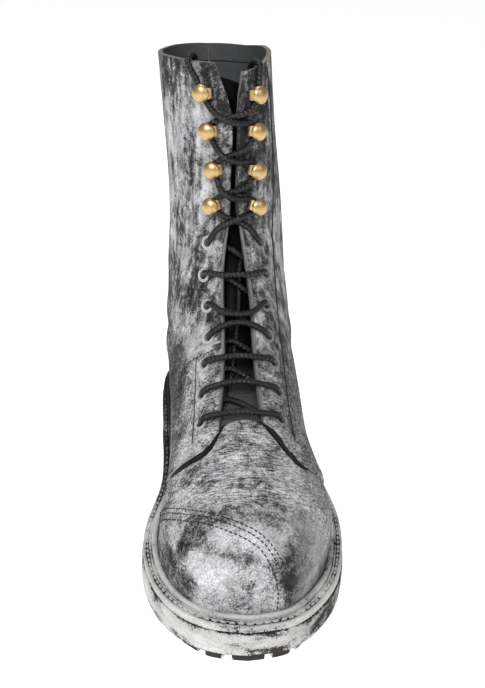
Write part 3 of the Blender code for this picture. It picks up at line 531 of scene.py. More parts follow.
def folds(side, u, v):
    """Depth of the soft folds at a place on the skin."""
    depth = np.zeros(np.broadcast(u, v).shape)
    for at, skew, deep, width, first, last in zip(*FOLDS[side].values()):
        middle = (first + last) / 2
        away = (u - at - skew * (v - middle)) * FORM_RUN
        window = rounded_step(v, first, first + FOLD_FADE) * (1 - rounded_step(v, last - FOLD_FADE, last))
        depth += deep * np.exp(-(away / width) ** 2) * window
    return depth


def wear_and_light(points):
    """How much paint is left, 0 to 1, with some painted highlight and shade, from the patches near each
    point, and how little they say there.
    """
    total = np.full(len(points), BASE_WEIGHT)
    tone = np.full(len(points), BASE_WEIGHT * BASE_TONE)
    for x, s, z, reach_x, reach_s, reach_z, value in zip(*WEAR_AND_LIGHT.values()):
        away = (points - (x, s, z)) / (reach_x, reach_s, reach_z)
        weight = np.exp(-(away ** 2).sum(axis=1))
        total += weight
        tone += weight * value
    return tone / total, BASE_WEIGHT / total


# Rows and columns of the leather's grid, between the panels' edges.
CAP_ROWS, VAMP_ROWS, WAIST_ROWS, SHAFT_ROWS = 30, 40, 70, 64
LOW_COLUMNS, STAY_COLUMNS, THROAT_COLUMNS = 44, 14, 12
FIRST_QUARTER = CAP_ROWS + VAMP_ROWS
LAST_ROW = FIRST_QUARTER + WAIST_ROWS + SHAFT_ROWS
FACING = LOW_COLUMNS + STAY_COLUMNS
LAST_COLUMN = FACING + THROAT_COLUMNS
HEEL_U = section_knots()[0][len(FOOT["low"]) - 1]
WARP_ROUNDS = 6


def edge_u(edge, side, v):
    """Where a panel's edge crosses the sections."""
    return spline(edge[side]["v"], edge[side]["u"], v)


def panel_v(side, u, column):
    """v of a column: up to the facing's seam, on to the facing's edge, then across the throat."""
    open_u = np.maximum(u, THROAT["u"][0])
    own = u / open_u
    lines = []
    for name in ("gap", "stay"):
        far = np.interp(open_u, THROAT["u"], THROAT[name])
        both = np.mean([v_from_front(each, open_u, far) for each in SIDES], axis=0)
        lines.append(own * v_from_front(side, open_u, far) + (1 - own) * both)
    gap, stay = lines
    low = stay * column / LOW_COLUMNS
    facing = stay + (gap - stay) * (column - LOW_COLUMNS) / STAY_COLUMNS
    throat = gap + (1 - gap) * (column - FACING) / THROAT_COLUMNS
    return np.where(column <= LOW_COLUMNS, low, np.where(column <= FACING, facing, throat))


def panel_u(side, row, v):
    """u of a row, so that rows follow the toe cap's edge and the quarter's front edge."""
    cap, quarter = edge_u(CAP_EDGE, side, v), edge_u(QUARTER_EDGE, side, v)
    foot = edge_u(QUARTER_EDGE, side, 0.0)
    reach = (HEEL_U - foot) / (1 - foot)
    past = row - FIRST_QUARTER
    share = np.where(past <= WAIST_ROWS, reach * past / WAIST_ROWS,
                     reach + (1 - reach) * (past - WAIST_ROWS) / SHAFT_ROWS)
    vamp = cap + (quarter - cap) * (row - CAP_ROWS) / VAMP_ROWS
    behind = quarter + (1 - quarter) * share
    return np.where(row <= CAP_ROWS, cap * row / CAP_ROWS, np.where(row <= FIRST_QUARTER, vamp, behind))


def places(side, rows, cols):
    """(u, v) of grid nodes, where the two warps agree."""
    row, column = np.meshgrid(rows, cols, indexing="ij")
    u = np.full(row.shape, THROAT["u"][0])
    for _ in range(WARP_ROUNDS):
        v = panel_v(side, u, column)
        u = panel_u(side, row, v)
    return u, v


def on_midsole(points):
    """The points, kept clear above the midsole."""
    floor = seat_z(points[..., 1]) - WELT + GAP
    return np.concatenate([points[..., :2], np.maximum(points[..., 2:], floor[..., None])], axis=-1)


def to_metres(points):
    """Boot millimetres to the frame's metres."""
    points = np.asarray(points, float)
    return np.stack([points[..., 0], points[..., 1] - SOLE_LENGTH / 2, points[..., 2]], axis=-1) * MM


def mesh_from(name, points, faces):
    """A mesh from points in millimetres, with its faces turned outwards."""
    mesh = bpy.data.meshes.new(name)
    mesh.from_pydata([tuple(p) for p in to_metres(points)], [], [list(map(int, f)) for f in faces])
    work = bmesh.new()
    work.from_mesh(mesh)
    bmesh.ops.recalc_face_normals(work, faces=work.faces)
    if work.calc_volume(signed=True) < 0:
        bmesh.ops.reverse_faces(work, faces=work.faces)
    work.to_mesh(mesh)
    work.free()
    return mesh


def add_piece(name, mesh, materials, slot, replaced=(), smooth=40):
    """Puts a mesh in the scene as a finished piece that rides on the boot."""
    for made in materials:
        mesh.materials.append(made)
    mesh.shade_smooth()
    mesh.set_sharp_from_angle(angle=math.radians(smooth))
    piece = bpy.data.objects.new(name, mesh)
    bpy.context.scene.collection.objects.link(piece)
    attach(piece, "root")
    if replaced:
        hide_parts(*replaced)
    return piece


def number_vertices(mesh, name, values):
    """Writes one number for each vertex, which a finish reads by that name."""
    layer = mesh.attributes.new(name, "FLOAT", "POINT")
    layer.data.foreach_set("value", np.asarray(values, np.float32))


def points_of(mesh):
    """A mesh's vertices in boot millimetres."""
    flat = np.zeros(len(mesh.vertices) * 3)
    mesh.vertices.foreach_get("co", flat)
    return flat.reshape(-1, 3) / MM + (0, SOLE_LENGTH / 2, 0)


# Points that agree to this many decimals of a millimetre are welded.
WELD_DIGITS = 3


def welded(points):
    """Which points are the first at their place, and the number of each point's place."""
    near = np.round(points, WELD_DIGITS)
    _, first, place = np.unique(near, axis=0, return_index=True, return_inverse=True)
    return first, place.ravel()


class Sheet:
    """Leather on the form: grids of outer and inner points, welded and closed round open edges."""

    def __init__(self):
        self.outer, self.inner, self.faces, self.backed = [], [], [], []
        self.count = 0

    def strip(self, outer, inner, backed=True):
        """Adds a grid of points and its quads."""
        rows, cols = outer.shape[:2]
        index = self.count + np.arange(rows * cols).reshape(rows, cols)
        corners = [index[:-1, :-1], index[1:, :-1], index[1:, 1:], index[:-1, 1:]]
        quads = np.stack(corners, axis=-1).reshape(-1, 4)
        self.outer.append(outer.reshape(-1, 3))
        self.inner.append(inner.reshape(-1, 3))
        self.faces.append(quads)
        self.backed.append(np.full(len(quads), backed))
        self.count += rows * cols

    def patch(self, side, rows, cols, lift, depth):
        """Adds a panel between grid lines. lift may vary over the panel."""
        u, v = places(side, np.arange(rows[0], rows[1] + 1), np.arange(cols[0], cols[1] + 1))
        fold = folds(side, u, v)
        height = lift(side, u, v) if callable(lift) else lift
        outer, inner = (on_midsole(skin(side, u, v, far + fold)) for far in (height, depth))
        self.strip(outer, inner)

    def step(self, side, row, cols, low, high, depth):
        """Adds the free edge where a panel ends on the one below."""
        u, v = places(side, np.array([row]), np.arange(cols[0], cols[1] + 1))
        fold = folds(side, u, v)
        outer = np.concatenate([on_midsole(skin(side, u, v, far + fold)) for far in (low, high)])
        inner = on_midsole(skin(side, u, v, depth + fold))
        self.strip(outer, np.concatenate([inner, inner]), backed=False)

    def mesh(self, name):
        """The closed mesh. Materials: 0 outside, 1 inside, 2 cut edges."""
        outer, inner = np.concatenate(self.outer), np.concatenate(self.inner)
        faces, backed = np.concatenate(self.faces), np.concatenate(self.backed)
        first, weld = welded(outer)
        first_in, weld_in = welded(inner)
        partner = np.zeros(len(first), int)
        partner[weld] = weld_in + len(first)
        skins = weld[faces]
        linings = (weld_in + len(first))[faces[backed]][:, ::-1]
        pairs = np.concatenate([skins[:, [k, (k + 1) % 4]] for k in range(4)])
        ordered = np.sort(pairs, axis=1)
        _, inverse, uses = np.unique(ordered, axis=0, return_inverse=True, return_counts=True)
        open_edges = pairs[(uses[inverse.ravel()] == 1) & (pairs[:, 0] != pairs[:, 1])]
        rims = np.column_stack([open_edges[:, ::-1], partner[open_edges]])
        every = [list(dict.fromkeys(f)) for group in (skins, linings, rims) for f in group.tolist()]
        part = [k for k, group in enumerate((skins, linings, rims)) for _ in range(len(group))]
        keep = [k for k, f in enumerate(every) if len(f) > 2]
        mesh = mesh_from(name, np.concatenate([outer[first], inner[first_in]]), [every[k] for k in keep])
        mesh.polygons.foreach_set("material_index", [part[k] for k in keep])
        # The tone is the paint left, with some painted highlight and shade.
        for layer, values in zip(("tone", "unmarked"), wear_and_light(points_of(mesh))):
            number_vertices(mesh, layer, values)
        return mesh


class Wire:
    """A socket that can be used in sums: arithmetic on it adds Math nodes to its tree."""

    def __init__(self, web, socket):
        self.web, self.socket = web, socket

    def joined(self, operation, first, second):
        """One Math node on two values."""
        return self.web.node("ShaderNodeMath", {"operation": operation}, {0: first, 1: second})

    def __add__(self, other):
        return self.joined("ADD", self, other)

    def __radd__(self, other):
        return self.joined("ADD", other, self)

    def __sub__(self, other):
        return self.joined("SUBTRACT", self, other)

    def __rsub__(self, other):
        return self.joined("SUBTRACT", other, self)

    def __mul__(self, other):
        return self.joined("MULTIPLY", self, other)

    def __rmul__(self, other):
        return self.joined("MULTIPLY", other, self)


class Web:
    """A node tree with one method that adds any node."""

    def __init__(self, tree):
        self.tree = tree

    def put(self, socket, value):
        """Sets a socket to a value, or links one wire or several to it."""
        if isinstance(value, Wire):
            self.tree.links.new(value.socket, socket)
        elif isinstance(value, list) and isinstance(value[0], Wire):
            for each in value:
                self.tree.links.new(each.socket, socket)
        else:
            socket.default_value = value

    def node(self, kind, settings=None, sockets=None, output=0):
        """Adds a node: its settings first, then the values or links of its sockets."""
        made = self.tree.nodes.new(kind)
        for name, value in (settings or {}).items():
            if name == "stops":
                ramp = made.color_ramp
                while len(ramp.elements) < len(value):
                    ramp.elements.new(1.0)
                for stop, (at, colour) in zip(ramp.elements, value):
                    stop.position = at
                    stop.color = (*colour, 1.0)
            else:
                setattr(made, name, value)
        for key, value in (sockets or {}).items():
            self.put(made.inputs[key], value)
        return Wire(self, made.outputs[output])


class Finish(Web):
    """A material's node tree, with the patterns that the boot's finishes share."""

    def __init__(self, name):
        self.material = bpy.data.materials.new(name)
        self.material.use_nodes = True
        super().__init__(self.material.node_tree)
        self.shader = self.tree.nodes["Principled BSDF"]

    def surface(self, **sockets):
        """Sets the shader's sockets, each by its title in small letters, and gives the material."""
        for name, value in sockets.items():
            title = name.replace("_", " ").title().replace("Ior", "IOR")
            self.put(self.shader.inputs[title], value)
        return self.material

    def here(self):
        """Object coordinates in millimetres."""
        place = self.node("ShaderNodeTexCoord", output="Object")
        return self.node("ShaderNodeVectorMath", {"operation": "SCALE"}, {0: place, "Scale": 1 / MM})

    def axis(self, name):
        """One of those coordinates."""
        return self.node("ShaderNodeSeparateXYZ", None, {0: self.here()}, output=name)

    def attribute(self, name):
        """A number that the mesh carries at each vertex."""
        return self.node("ShaderNodeAttribute", {"attribute_name": name}, output="Fac")

    def noise(self, size, stretch=(1, 1, 1), detail=4.0, rough=0.55, twist=0.0):
        """Soft noise, -1 to 1, with features about size millimetres across, drawn out by stretch."""
        scale = tuple(1 / (size * s) for s in stretch)
        at = self.node("ShaderNodeVectorMath", {"operation": "MULTIPLY"}, {0: self.here(), 1: scale})
        sockets = {"Vector": at, "Scale": 1.0, "Detail": detail, "Roughness": rough, "Distortion": twist}
        return (self.node("ShaderNodeTexNoise", None, sockets) - 0.5) * 2.0

    def cells(self, size):
        """Distance from the edges of irregular cells about size millimetres across."""
        at = self.node("ShaderNodeVectorMath", {"operation": "SCALE"}, {0: self.here(), "Scale": 1 / size})
        sockets = {"Vector": at, "Scale": 1.0}
        return self.node("ShaderNodeTexVoronoi", {"feature": "DISTANCE_TO_EDGE"}, sockets)

    def size_of(self, value):
        """The value without its sign."""
        return self.node("ShaderNodeMath", {"operation": "ABSOLUTE"}, {0: value})

    def step(self, value, low, high):
        """0 below low, 1 above high and smooth between."""
        sockets = {"Value": value, "From Min": low, "From Max": high}
        return self.node("ShaderNodeMapRange", {"interpolation_type": "SMOOTHSTEP"}, sockets)

    def ramp(self, value, *stops):
        """A colour read from stops of (place, colour)."""
        return self.node("ShaderNodeValToRGB", {"stops": stops}, {"Fac": value})

    def blend(self, factor, first, second):
        """Two colours mixed by a factor."""
        first, second = (c if isinstance(c, Wire) else (*c, 1.0) for c in (first, second))
        sockets = {0: factor, 6: first, 7: second}
        return self.node("ShaderNodeMix", {"data_type": "RGBA"}, sockets, output=2)

    def bump(self, height, strength, depth):
        """A normal from a height, whose full range is depth millimetres."""
        sockets = {"Height": height, "Strength": strength, "Distance": depth * MM}
        return self.node("ShaderNodeBump", None, sockets, output="Normal")


SMALLEST_SIZE = 0.2


def measure(name, description, millimetres):
    """A length, which the sidebar shows in the scene's own unit."""
    return FloatProperty(
        name=name, description=description, unit="LENGTH", precision=5, min=SMALLEST_SIZE * MM,
        default=millimetres * MM,
    )


def colour(name, description, default):
    """A colour with a picker."""
    return FloatVectorProperty(
        name=name, description=description, subtype="COLOR", min=0, max=1, default=default,
    )


class BootSizes(bpy.types.PropertyGroup):
    """Sizes that a user would change, kept in metres."""

    lace_radius: measure("Lace radius", "Half the cord's thickness", 1.85)
    eyelet_hole: measure("Eyelet hole", "Radius of the hole", 2.5)
    eyelet_outer: measure("Eyelet rim", "Radius of the ring", 4.3)
    hook_dome: measure("Hook dome", "Radius of a hook's dome", 5.2)
    stitch: measure("Stitch", "Length of a stitch on the upper", 1.9)
    stitch_pitch: measure("Stitch pitch", "From one stitch to the next", 2.6)
    welt_stitch: measure("Welt stitch", "Length of a welt stitch", 3.4)
    welt_pitch: measure("Welt pitch", "From one welt stitch to the next", 4.4)


class BootColours(bpy.types.PropertyGroup):
    """Colours that a user would change."""

    leather: colour("Leather", "The black hide where the paint is gone", (0.006, 0.006, 0.007))
    paint: colour("Paint", "The white paint where it is thick", (0.80, 0.80, 0.82))
    lining: colour("Lining", "The inside of the shaft", (0.075, 0.078, 0.081))
    raw_edge: colour("Raw edge", "Cut edges of the hide", (0.17, 0.152, 0.132))
    rubber: colour("Rubber", "Outsole and heel", (0.040, 0.036, 0.033))
    pale: colour("Midsole", "Painted midsole", (0.617, 0.615, 0.605))
    brass: colour("Brass", "Lacing hooks", (0.56, 0.40, 0.19))
    cord: colour("Cord", "Laces", (0.009, 0.009, 0.010))


# Spans over which the finishes change, in millimetres along the frame's own axes.
ANKLE_Z, CAP_BACK_Y, OUTER_HALF_X = (88.0, 125.0), (-112.0, -98.0), (0.0, 24.0)
TONGUE_FOOT_Z, OUTER_RINGS_X = (84.0, 110.0), (-4.0, 6.0)
SOLE_INNER_X, SOLE_OUTER_X, SOLE_WAIST_Y = (-40.0, -10.0), (5.0, 45.0), (-45.0, 10.0)


def painted_leather(name, colours):
    """Black hide under white paint, which has flaked by the tone that each vertex carries; that tone holds
    some painted highlight and shade.
    """
    leather, paint = tuple(colours.leather), tuple(colours.paint)
    finish = Finish(name)
    cloud = finish.noise(34.0, detail=4.0, rough=0.6, twist=0.8)
    tone = finish.attribute("tone") + finish.attribute("unmarked") * cloud * 0.5
    shaft = finish.step(finish.axis("Z"), *ANKLE_Z)
    vamp = (1.0 - shaft) * finish.step(finish.axis("Y"), *CAP_BACK_Y)
    calm = 1.0 - finish.step(finish.axis("X"), *OUTER_HALF_X) * 0.6
    blotch = finish.noise(6.5, detail=8.0, rough=0.7, twist=1.0) * calm
    speckle = finish.noise(1.0, detail=3.0, rough=0.8) * calm * (1.0 - shaft * 0.3)
    streak = finish.noise(4.0, stretch=(1, 1, 4.0), detail=6.0, rough=0.62)
    wash = finish.noise(15.0, detail=5.0, rough=0.6)
    line = finish.noise(1.1, stretch=(10, 1, 1), detail=4.0, rough=0.62)
    crease = finish.noise(5.0, stretch=(6, 1, 1), detail=3.0, rough=0.6)
    crack = vamp * (1.0 - finish.step(finish.size_of(crease), 0.0, 0.05))
    wrinkle_and_shade = finish.noise(9.0, stretch=(1, 1, 2.6), detail=3.0, rough=0.5)
    ragged = blotch * 0.7 + speckle * 0.45 + shaft * streak * 0.6 + vamp * line * 0.3
    left = finish.step(tone + ragged, 0.22, 0.70)
    fine = speckle * 0.45 + blotch * 0.2 + vamp * line * 0.5 + shaft * streak * 0.3
    pale = tone * 0.5 + 0.40 + wash * 0.24 + fine
    dark = tone * 0.4 + 0.05 + speckle * 0.28 + blotch * 0.2 + wash * 0.1
    # The shaft's wrinkles are painted into the colour too: painted highlight on their ridges and painted
    # shade in their troughs.
    value = dark + left * (pale - dark) - crack * 0.22 + shaft * wrinkle_and_shade * 0.16
    base = finish.ramp(
        value,
        (0.0, leather), (0.25, [0.05 * c for c in paint]), (0.5, [0.19 * c for c in paint]),
        (0.75, [0.5 * c for c in paint]), (1.0, paint),
    )
    grain = finish.cells(1.1) * 0.1 + finish.noise(0.6, detail=2.0) * 0.08
    height = grain + left * 0.14 + vamp * line * 0.12 - crack * 0.3 + shaft * wrinkle_and_shade * 0.9
    return finish.surface(
        base_color=base, roughness=left * 0.15 + 0.5, specular_ior_level=0.015,
        normal=finish.bump(height, 0.6, 1.0),
    )


def plain_leather(name, base, roughness, grain_size, grain_depth):
    """Unpainted hide with a fine grain."""
    finish = Finish(name)
    shade = finish.noise(14.0, detail=4.0) * 0.35 + finish.noise(1.5, detail=2.0) * 0.2 + 0.5
    mix = finish.blend(shade, [0.6 * c for c in base], [1.6 * c for c in base])
    height = finish.cells(grain_size) + finish.noise(grain_size * 0.6, detail=2.0) * 0.4
    return finish.surface(
        base_color=mix, roughness=roughness, specular_ior_level=0.15,
        normal=finish.bump(height, 0.4, grain_depth),
    )


def tongue_leather(name, colours):
    """Black hide, with paint left where the tongue leaves the vamp."""
    finish = Finish(name)
    low = 1.0 - finish.step(finish.axis("Z"), *TONGUE_FOOT_Z)
    line = finish.noise(1.1, stretch=(10, 1, 1), detail=4.0, rough=0.62)
    fleck = finish.noise(1.0, detail=3.0, rough=0.8)
    value = low * (line * 0.5 + fleck * 0.35 + 0.6)
    base = finish.blend(value, [0.5 * c for c in colours.leather], [0.17 * c for c in colours.paint])
    height = finish.cells(1.2) + line * 0.3
    return finish.surface(
        base_color=base, roughness=0.5, specular_ior_level=0.07, normal=finish.bump(height, 0.4, 0.25),
    )


def dirty_shaded_sole(name, pale, dark, cover, outer_shade):
    """Pale paint scuffed to dark, darker still where a vertex's band is high and at the inner waist, and
    painted shade on the outer side.

    cover is how much paint is left, and the last argument how much darker the outer side is painted, as
    painted shade.
    """
    finish = Finish(name)
    band = finish.attribute("band")
    # Darker at the inner waist, and painted shade on the outer side.
    inner = 1.0 - finish.step(finish.axis("X"), *SOLE_INNER_X)
    outer = finish.step(finish.axis("X"), *SOLE_OUTER_X)
    darkened = outer * outer_shade + inner * finish.step(finish.axis("Y"), *SOLE_WAIST_Y) * 0.7
    scuff = finish.noise(6.0, stretch=(3, 3, 1), detail=8.0, rough=0.75)
    fleck = finish.noise(1.0, detail=4.0, rough=0.8)
    patch = finish.noise(14.0, stretch=(2, 2, 1), detail=5.0, rough=0.6)
    value = scuff * 1.2 + fleck * 0.9 + patch * 1.0 + cover - band * 0.55 - darkened
    mask = finish.step(value, -0.08, 0.12)
    grime_and_shade = patch * 0.5 + fleck * 0.6 + scuff * 0.6 + 0.7 - darkened
    tint = finish.blend(grime_and_shade, [0.22 * c for c in pale], [1.15 * c for c in pale])
    base = finish.blend(mask, dark, tint)
    height = mask * 0.7 + fleck * 0.5 + scuff * 0.5
    return finish.surface(
        base_color=base, roughness=0.85, specular_ior_level=0.12, normal=finish.bump(height, 0.6, 0.5),
    )


def worn_metal(name, base, roughness, metallic, chipped, painted=None):
    """Metal or thread with chipped spots. painted, if given, is painted shade: a darker colour on the outer
    side.
    """
    finish = Finish(name)
    spot = finish.step(finish.noise(1.6, detail=4.0, rough=0.65), 0.12, 0.5)
    mix = finish.blend(spot, base, chipped)
    # Painted shade: the outer side turns to the darker colour given.
    if painted:
        mix = finish.blend(finish.step(finish.axis("X"), *OUTER_RINGS_X), mix, painted)
    rough = spot * 0.22 + roughness + finish.noise(0.8) * 0.05
    height = finish.noise(0.9, detail=3.0)
    return finish.surface(
        base_color=mix, roughness=rough, metallic=metallic, normal=finish.bump(height, 0.25, 0.12),
    )


# The braid: strands each way round the cord, and how fast they wind along it.
BRAID_STRANDS, BRAID_WIND = 4, 2.5


def braided_cord(name, base):
    """Waxed braid of crossed strands, by the cord's own UV map, with a little rubbed paint."""
    finish = Finish(name)
    uv = finish.node("ShaderNodeTexCoord", output="UV")
    round_, along = (
        finish.node("ShaderNodeSeparateXYZ", None, {0: uv}, output=axis) for axis in ("X", "Y")
    )
    turns = 2 * math.pi * BRAID_STRANDS
    strands = [
        finish.node("ShaderNodeMath", {"operation": "SINE"}, {0: round_ * turns + along * wind})
        for wind in (BRAID_WIND, -BRAID_WIND)
    ]
    braid = finish.node("ShaderNodeMath", {"operation": "MAXIMUM"}, {0: strands[0], 1: strands[1]})
    dusty = finish.noise(5.0, detail=5.0, rough=0.7) * 0.8 + finish.noise(0.9) * 0.6
    dust = finish.step(dusty, 0.05, 0.6)
    light = [min(1.0, 7 * c) for c in base]
    mix = finish.blend(dust * (braid * 0.35 + 0.4), [0.5 * c for c in base], light)
    return finish.surface(
        base_color=mix, roughness=0.34, specular_ior_level=0.4, normal=finish.bump(braid, 0.6, 0.3),
    )


def layer_mesh(name, profile, first=0.0):
    """A sole layer: a side profile of (inset, height function, band) swept round the outline.

    It is closed across above and below, and starts at first, from 0 at the toe to 1 at the heel.
    """
    start = int(round(first * (OUTLINE_POINTS - 1)))
    count = OUTLINE_POINTS - start
    points, index, bands = [], {}, []
    for k, (inset, height, band) in enumerate(profile):
        edges = inset_edges(inset, OUTLINE_POINTS)
        for side in SIDES:
            for n, (x, s) in enumerate(edges[side][start:]):
                shared = (n == 0 and start == 0) or n == count - 1
                if side == "lateral" and shared:
                    index[k, side, n] = index[k, "medial", n]
                else:
                    index[k, side, n] = len(points)
                    points.append((x, s, float(height(s))))
                    bands.append(band)
    rungs = range(len(profile))
    faces = []
    for n in range(count - 1):
        for side in SIDES:
            for k in rungs[:-1]:
                corners = ((k, n), (k, n + 1), (k + 1, n + 1), (k + 1, n))
                faces.append([index[rung, side, station] for rung, station in corners])
        for k in (rungs[0], rungs[-1]):
            across = [index[k, "medial", n], index[k, "medial", n + 1]]
            across += [index[k, "lateral", n + 1], index[k, "lateral", n]]
            faces.append(list(dict.fromkeys(across)))
    if start:
        rise = [index[k, "medial", 0] for k in rungs]
        faces.append(rise + [index[k, "lateral", 0] for k in reversed(rungs)])
    mesh = mesh_from(name, points, faces)
    number_vertices(mesh, "band", bands)
    return mesh


def below(depth):
    """A height that stays a depth under the welt's top."""
    def height(s):
        return seat_z(s) - depth
    return height


def level(z):
    """A height that is the same all along."""
    def height(s):
        return np.full_like(np.asarray(s, float), z)
    return height


def from_feather(further):
    """An inset measured from the foot of the upper, inwards where positive."""
    def inset(s):
        return feather_inset(s) + further
    return inset


def across_welt(share):
    """An inset from the welt's lip, 0, to the foot of its bead, 1."""
    def inset(s):
        return WELT_LIP + share * (feather_inset(s) - WELT_LIP - BEAD_FOOT)
    return inset


def lug_edge(further):
    """An inset to the lugs' sides, which come nearer to the plate's edge at the toe."""
    def inset(s):
        return LUG_INSET + further - TOE_LUGS_OUT * (1 - rounded_step(s, *TOE_LUGS_SPAN))
    return inset


TREAD_TOP = WELT + MIDSOLE
TREAD_BOTTOM = TREAD_TOP + PLATE + LUG


def tread_z(s):
    """Underside of the forefoot tread: flat on the floor under the ball and sprung up at the toe."""
    return np.maximum(seat_z(s) - TREAD_BOTTOM, 0.0)


def groove_z(s):
    """Top of the grooves between the lugs."""
    return tread_z(s) + LUG


def underside(s):
    """The tread, and behind the ball the thinner waist."""
    waist = seat_z(s) - TREAD_TOP - PLATE
    share = np.clip((np.asarray(s) - WAIST_START) / WAIST_BLEND, 0, 1)
    return tread_z(s) + (waist - tread_z(s)) * share


def groove(route, width, top):
    """A straight cutter between two (x, s) points, from below the floor up to a height function."""
    ends = np.array(route, float)
    run = unit(ends[1] - ends[0])
    across = np.array([-run[1], run[0]]) * width / 2
    points = []
    for end in ends:
        for place in (end + across, end - across):
            points.append((*place, -GROOVE_OVERCUT))
        for place in (end - across, end + across):
            points.append((*place, float(top(place[1]))))
    sides = [[k, (k + 1) % 4, (k + 1) % 4 + 4, k + 4] for k in range(4)]
    return points, [[0, 1, 2, 3], [7, 6, 5, 4]] + sides


def carved(name, mesh, cuts):
    """The mesh with grooves cut from it. A cut is its routes, width and top."""
    target = bpy.data.objects.new(name, mesh)
    bpy.context.scene.collection.objects.link(target)
    cutters = []
    for routes, width, top in cuts:
        points, faces = [], []
        for route in routes:
            bar, quads = groove(route, width, top)
            faces += [[len(points) + k for k in quad] for quad in quads]
            points += bar
        cutter = bpy.data.objects.new("cutter", mesh_from("cutter", points, faces))
        bpy.context.scene.collection.objects.link(cutter)
        cutters.append(cutter)
        cut = target.modifiers.new("groove", "BOOLEAN")
        cut.operation = "DIFFERENCE"
        cut.object = cutter
    result = settled(target)
    for cutter in cutters:
        bpy.data.objects.remove(cutter, do_unlink=True)
    return result


def settled(worked):
    """The plain mesh that an object's modifiers give. The object itself is removed."""
    bpy.context.view_layer.update()
    graph = bpy.context.evaluated_depsgraph_get()
    mesh = bpy.data.meshes.new_from_object(worked.evaluated_get(graph))
    mesh.name = worked.name
    bpy.data.objects.remove(worked, do_unlink=True)
    return mesh


def edge_routes():
    """Grooves that cross the sole's edge, square to it, at equal steps along each side of the forefoot."""
    inner, outer = (inset_edges(by, OUTLINE_POINTS) for by in (EDGE_GROOVE_REACH, -EDGE_GROOVE_OUT))
    steps = np.linspace(*EDGE_GROOVE_SPAN, EDGE_GROOVES) * (OUTLINE_POINTS - 1)
    stations = np.round(steps).astype(int)
    return [(outer[side][n], inner[side][n]) for side in SIDES for n in stations]


def ring_mesh(name, profile):
    """A ring round the sole, whose closed section is points of (inset, height function, band)."""
    rings, bands = [], []
    for inset, height, band in profile:
        edges = inset_edges(inset, OUTLINE_POINTS)
        loop = np.concatenate([edges["medial"], edges["lateral"][-2:0:-1]])
        rings.append(np.column_stack([loop, height(loop[:, 1])]))
        bands += [band] * len(loop)
    size, faces = len(rings[0]), []
    for k in range(len(rings)):
        after = (k + 1) % len(rings)
        for n in range(size):
            m = (n + 1) % size
            faces.append([k * size + n, k * size + m, after * size + m, after * size + n])
    mesh = mesh_from(name, np.concatenate(rings), faces)
    number_vertices(mesh, "band", bands)
    return mesh


def tube_mesh(name, route, radius, sides=12):
    """A round cord along a route, whose radius may vary along it.

    Its UV map counts turns round the cord and millimetres along it.
    """
    path = np.asarray(route, float)
    radius = np.broadcast_to(radius, len(path))
    along = lengths(path)
    run = unit(np.gradient(path, axis=0))
    normal = np.cross(run[0], (0.0, 1.0, 0.3))
    rings = []
    for here, ahead in zip(path, run):
        normal = unit(normal - ahead * np.dot(normal, ahead))
        other = np.cross(ahead, normal)
        angle = 2 * math.pi * np.arange(sides) / sides
        rings.append((here, np.outer(np.cos(angle), normal) + np.outer(np.sin(angle), other)))
    points = []
    for (here, circle), thick in zip(rings, radius):
        points += list(here + thick * circle)
    faces = []
    for n in range(len(path) - 1):
        for k in range(sides):
            a, b = n * sides + k, n * sides + (k + 1) % sides
            faces.append([a, b, b + sides, a + sides])
    first, last = len(points), len(points) + 1
    points += [path[0] - run[0] * radius[0] * 0.5, path[-1] + run[-1] * radius[-1] * 0.5]
    end = (len(path) - 1) * sides
    for k in range(sides):
        faces.append([first, (k + 1) % sides, k])
        faces.append([last, end + k, end + (k + 1) % sides])
    mesh = mesh_from(name, points, faces)
    layer = mesh.uv_layers.new(name="cord")
    for face in mesh.polygons:
        ring = [v for v in face.vertices if v < first]
        wraps = {v % sides for v in ring} >= {0, sides - 1}
        for loop in face.loop_indices:
            v = mesh.loops[loop].vertex_index
            n, k = (v // sides, v % sides) if v < first else ((0 if v == first else len(path) - 1), 0)
            layer.data[loop].uv = ((k or (sides if wraps else 0)) / sides, along[n])
    return mesh


# Points of a run beside a panel's edge, up the boot and along the slant.
EDGE_RUN_POINTS, FRONT_RUN_POINTS, SLANT_RUN_POINTS = 90, 120, 50
# The small step of u that shows which way a run moves, and the number of points that smooth its tangent.
PROBE, TANGENT_WINDOW = 0.004, 15


def edge_run(edge, sides, further, lift, v_from, v_to):
    """A run of points beside a panel's edge, over one side or both.

    further is how far beside it, towards the heel where positive.
    """
    parts = []
    for side in sides:
        v = np.linspace(v_from, v_to, EDGE_RUN_POINTS)
        u = edge_u(edge, side, v)
        here = skin(side, u, v, 0.0)
        ahead = skin(side, u + PROBE, v, 0.0) - here
        parts.append([side, u, v, here, ahead])
    if len(sides) == 2:
        parts[1][1:] = [values[::-1] for values in parts[1][1:]]
    line, ahead = (np.concatenate([part[k] for part in parts]) for k in (3, 4))
    tangent = np.gradient(line, axis=0)
    soft = np.hanning(TANGENT_WINDOW)
    soft = soft / soft.sum()
    reach = TANGENT_WINDOW // 2
    padded = np.concatenate([tangent[:1].repeat(reach, 0), tangent, tangent[-1:].repeat(reach, 0)])
    tangent = unit(np.column_stack([np.convolve(padded[:, k], soft, "valid") for k in range(3)]))
    square = np.sqrt(np.clip(1 - (tangent * unit(ahead)).sum(axis=1) ** 2, 0.05, 1))
    shift = further * PROBE / (np.linalg.norm(ahead, axis=1) * square)
    run, start = [], 0
    for side, u, v, _, _ in parts:
        moved = np.clip(u + shift[start:start + len(u)], 0.0, 1.0)
        run.append(skin(side, moved, v, lift + folds(side, moved, v)))
        start += len(u)
    return np.concatenate(run)


def front_run(side, from_front, lift, u_from, u_to):
    """A run of points up the boot, whose distance from the front line is a function of u."""
    u = np.linspace(u_from, u_to, FRONT_RUN_POINTS)
    v = v_from_front(side, u, from_front(u))
    return skin(side, u, v, lift + folds(side, u, v))


def throat_line(name, further):
    """Distance from the front line to a row beside the facing's edge, gap, or its outer seam, stay."""
    def distance(u):
        return np.interp(u, THROAT["u"], THROAT[name]) + further
    return distance


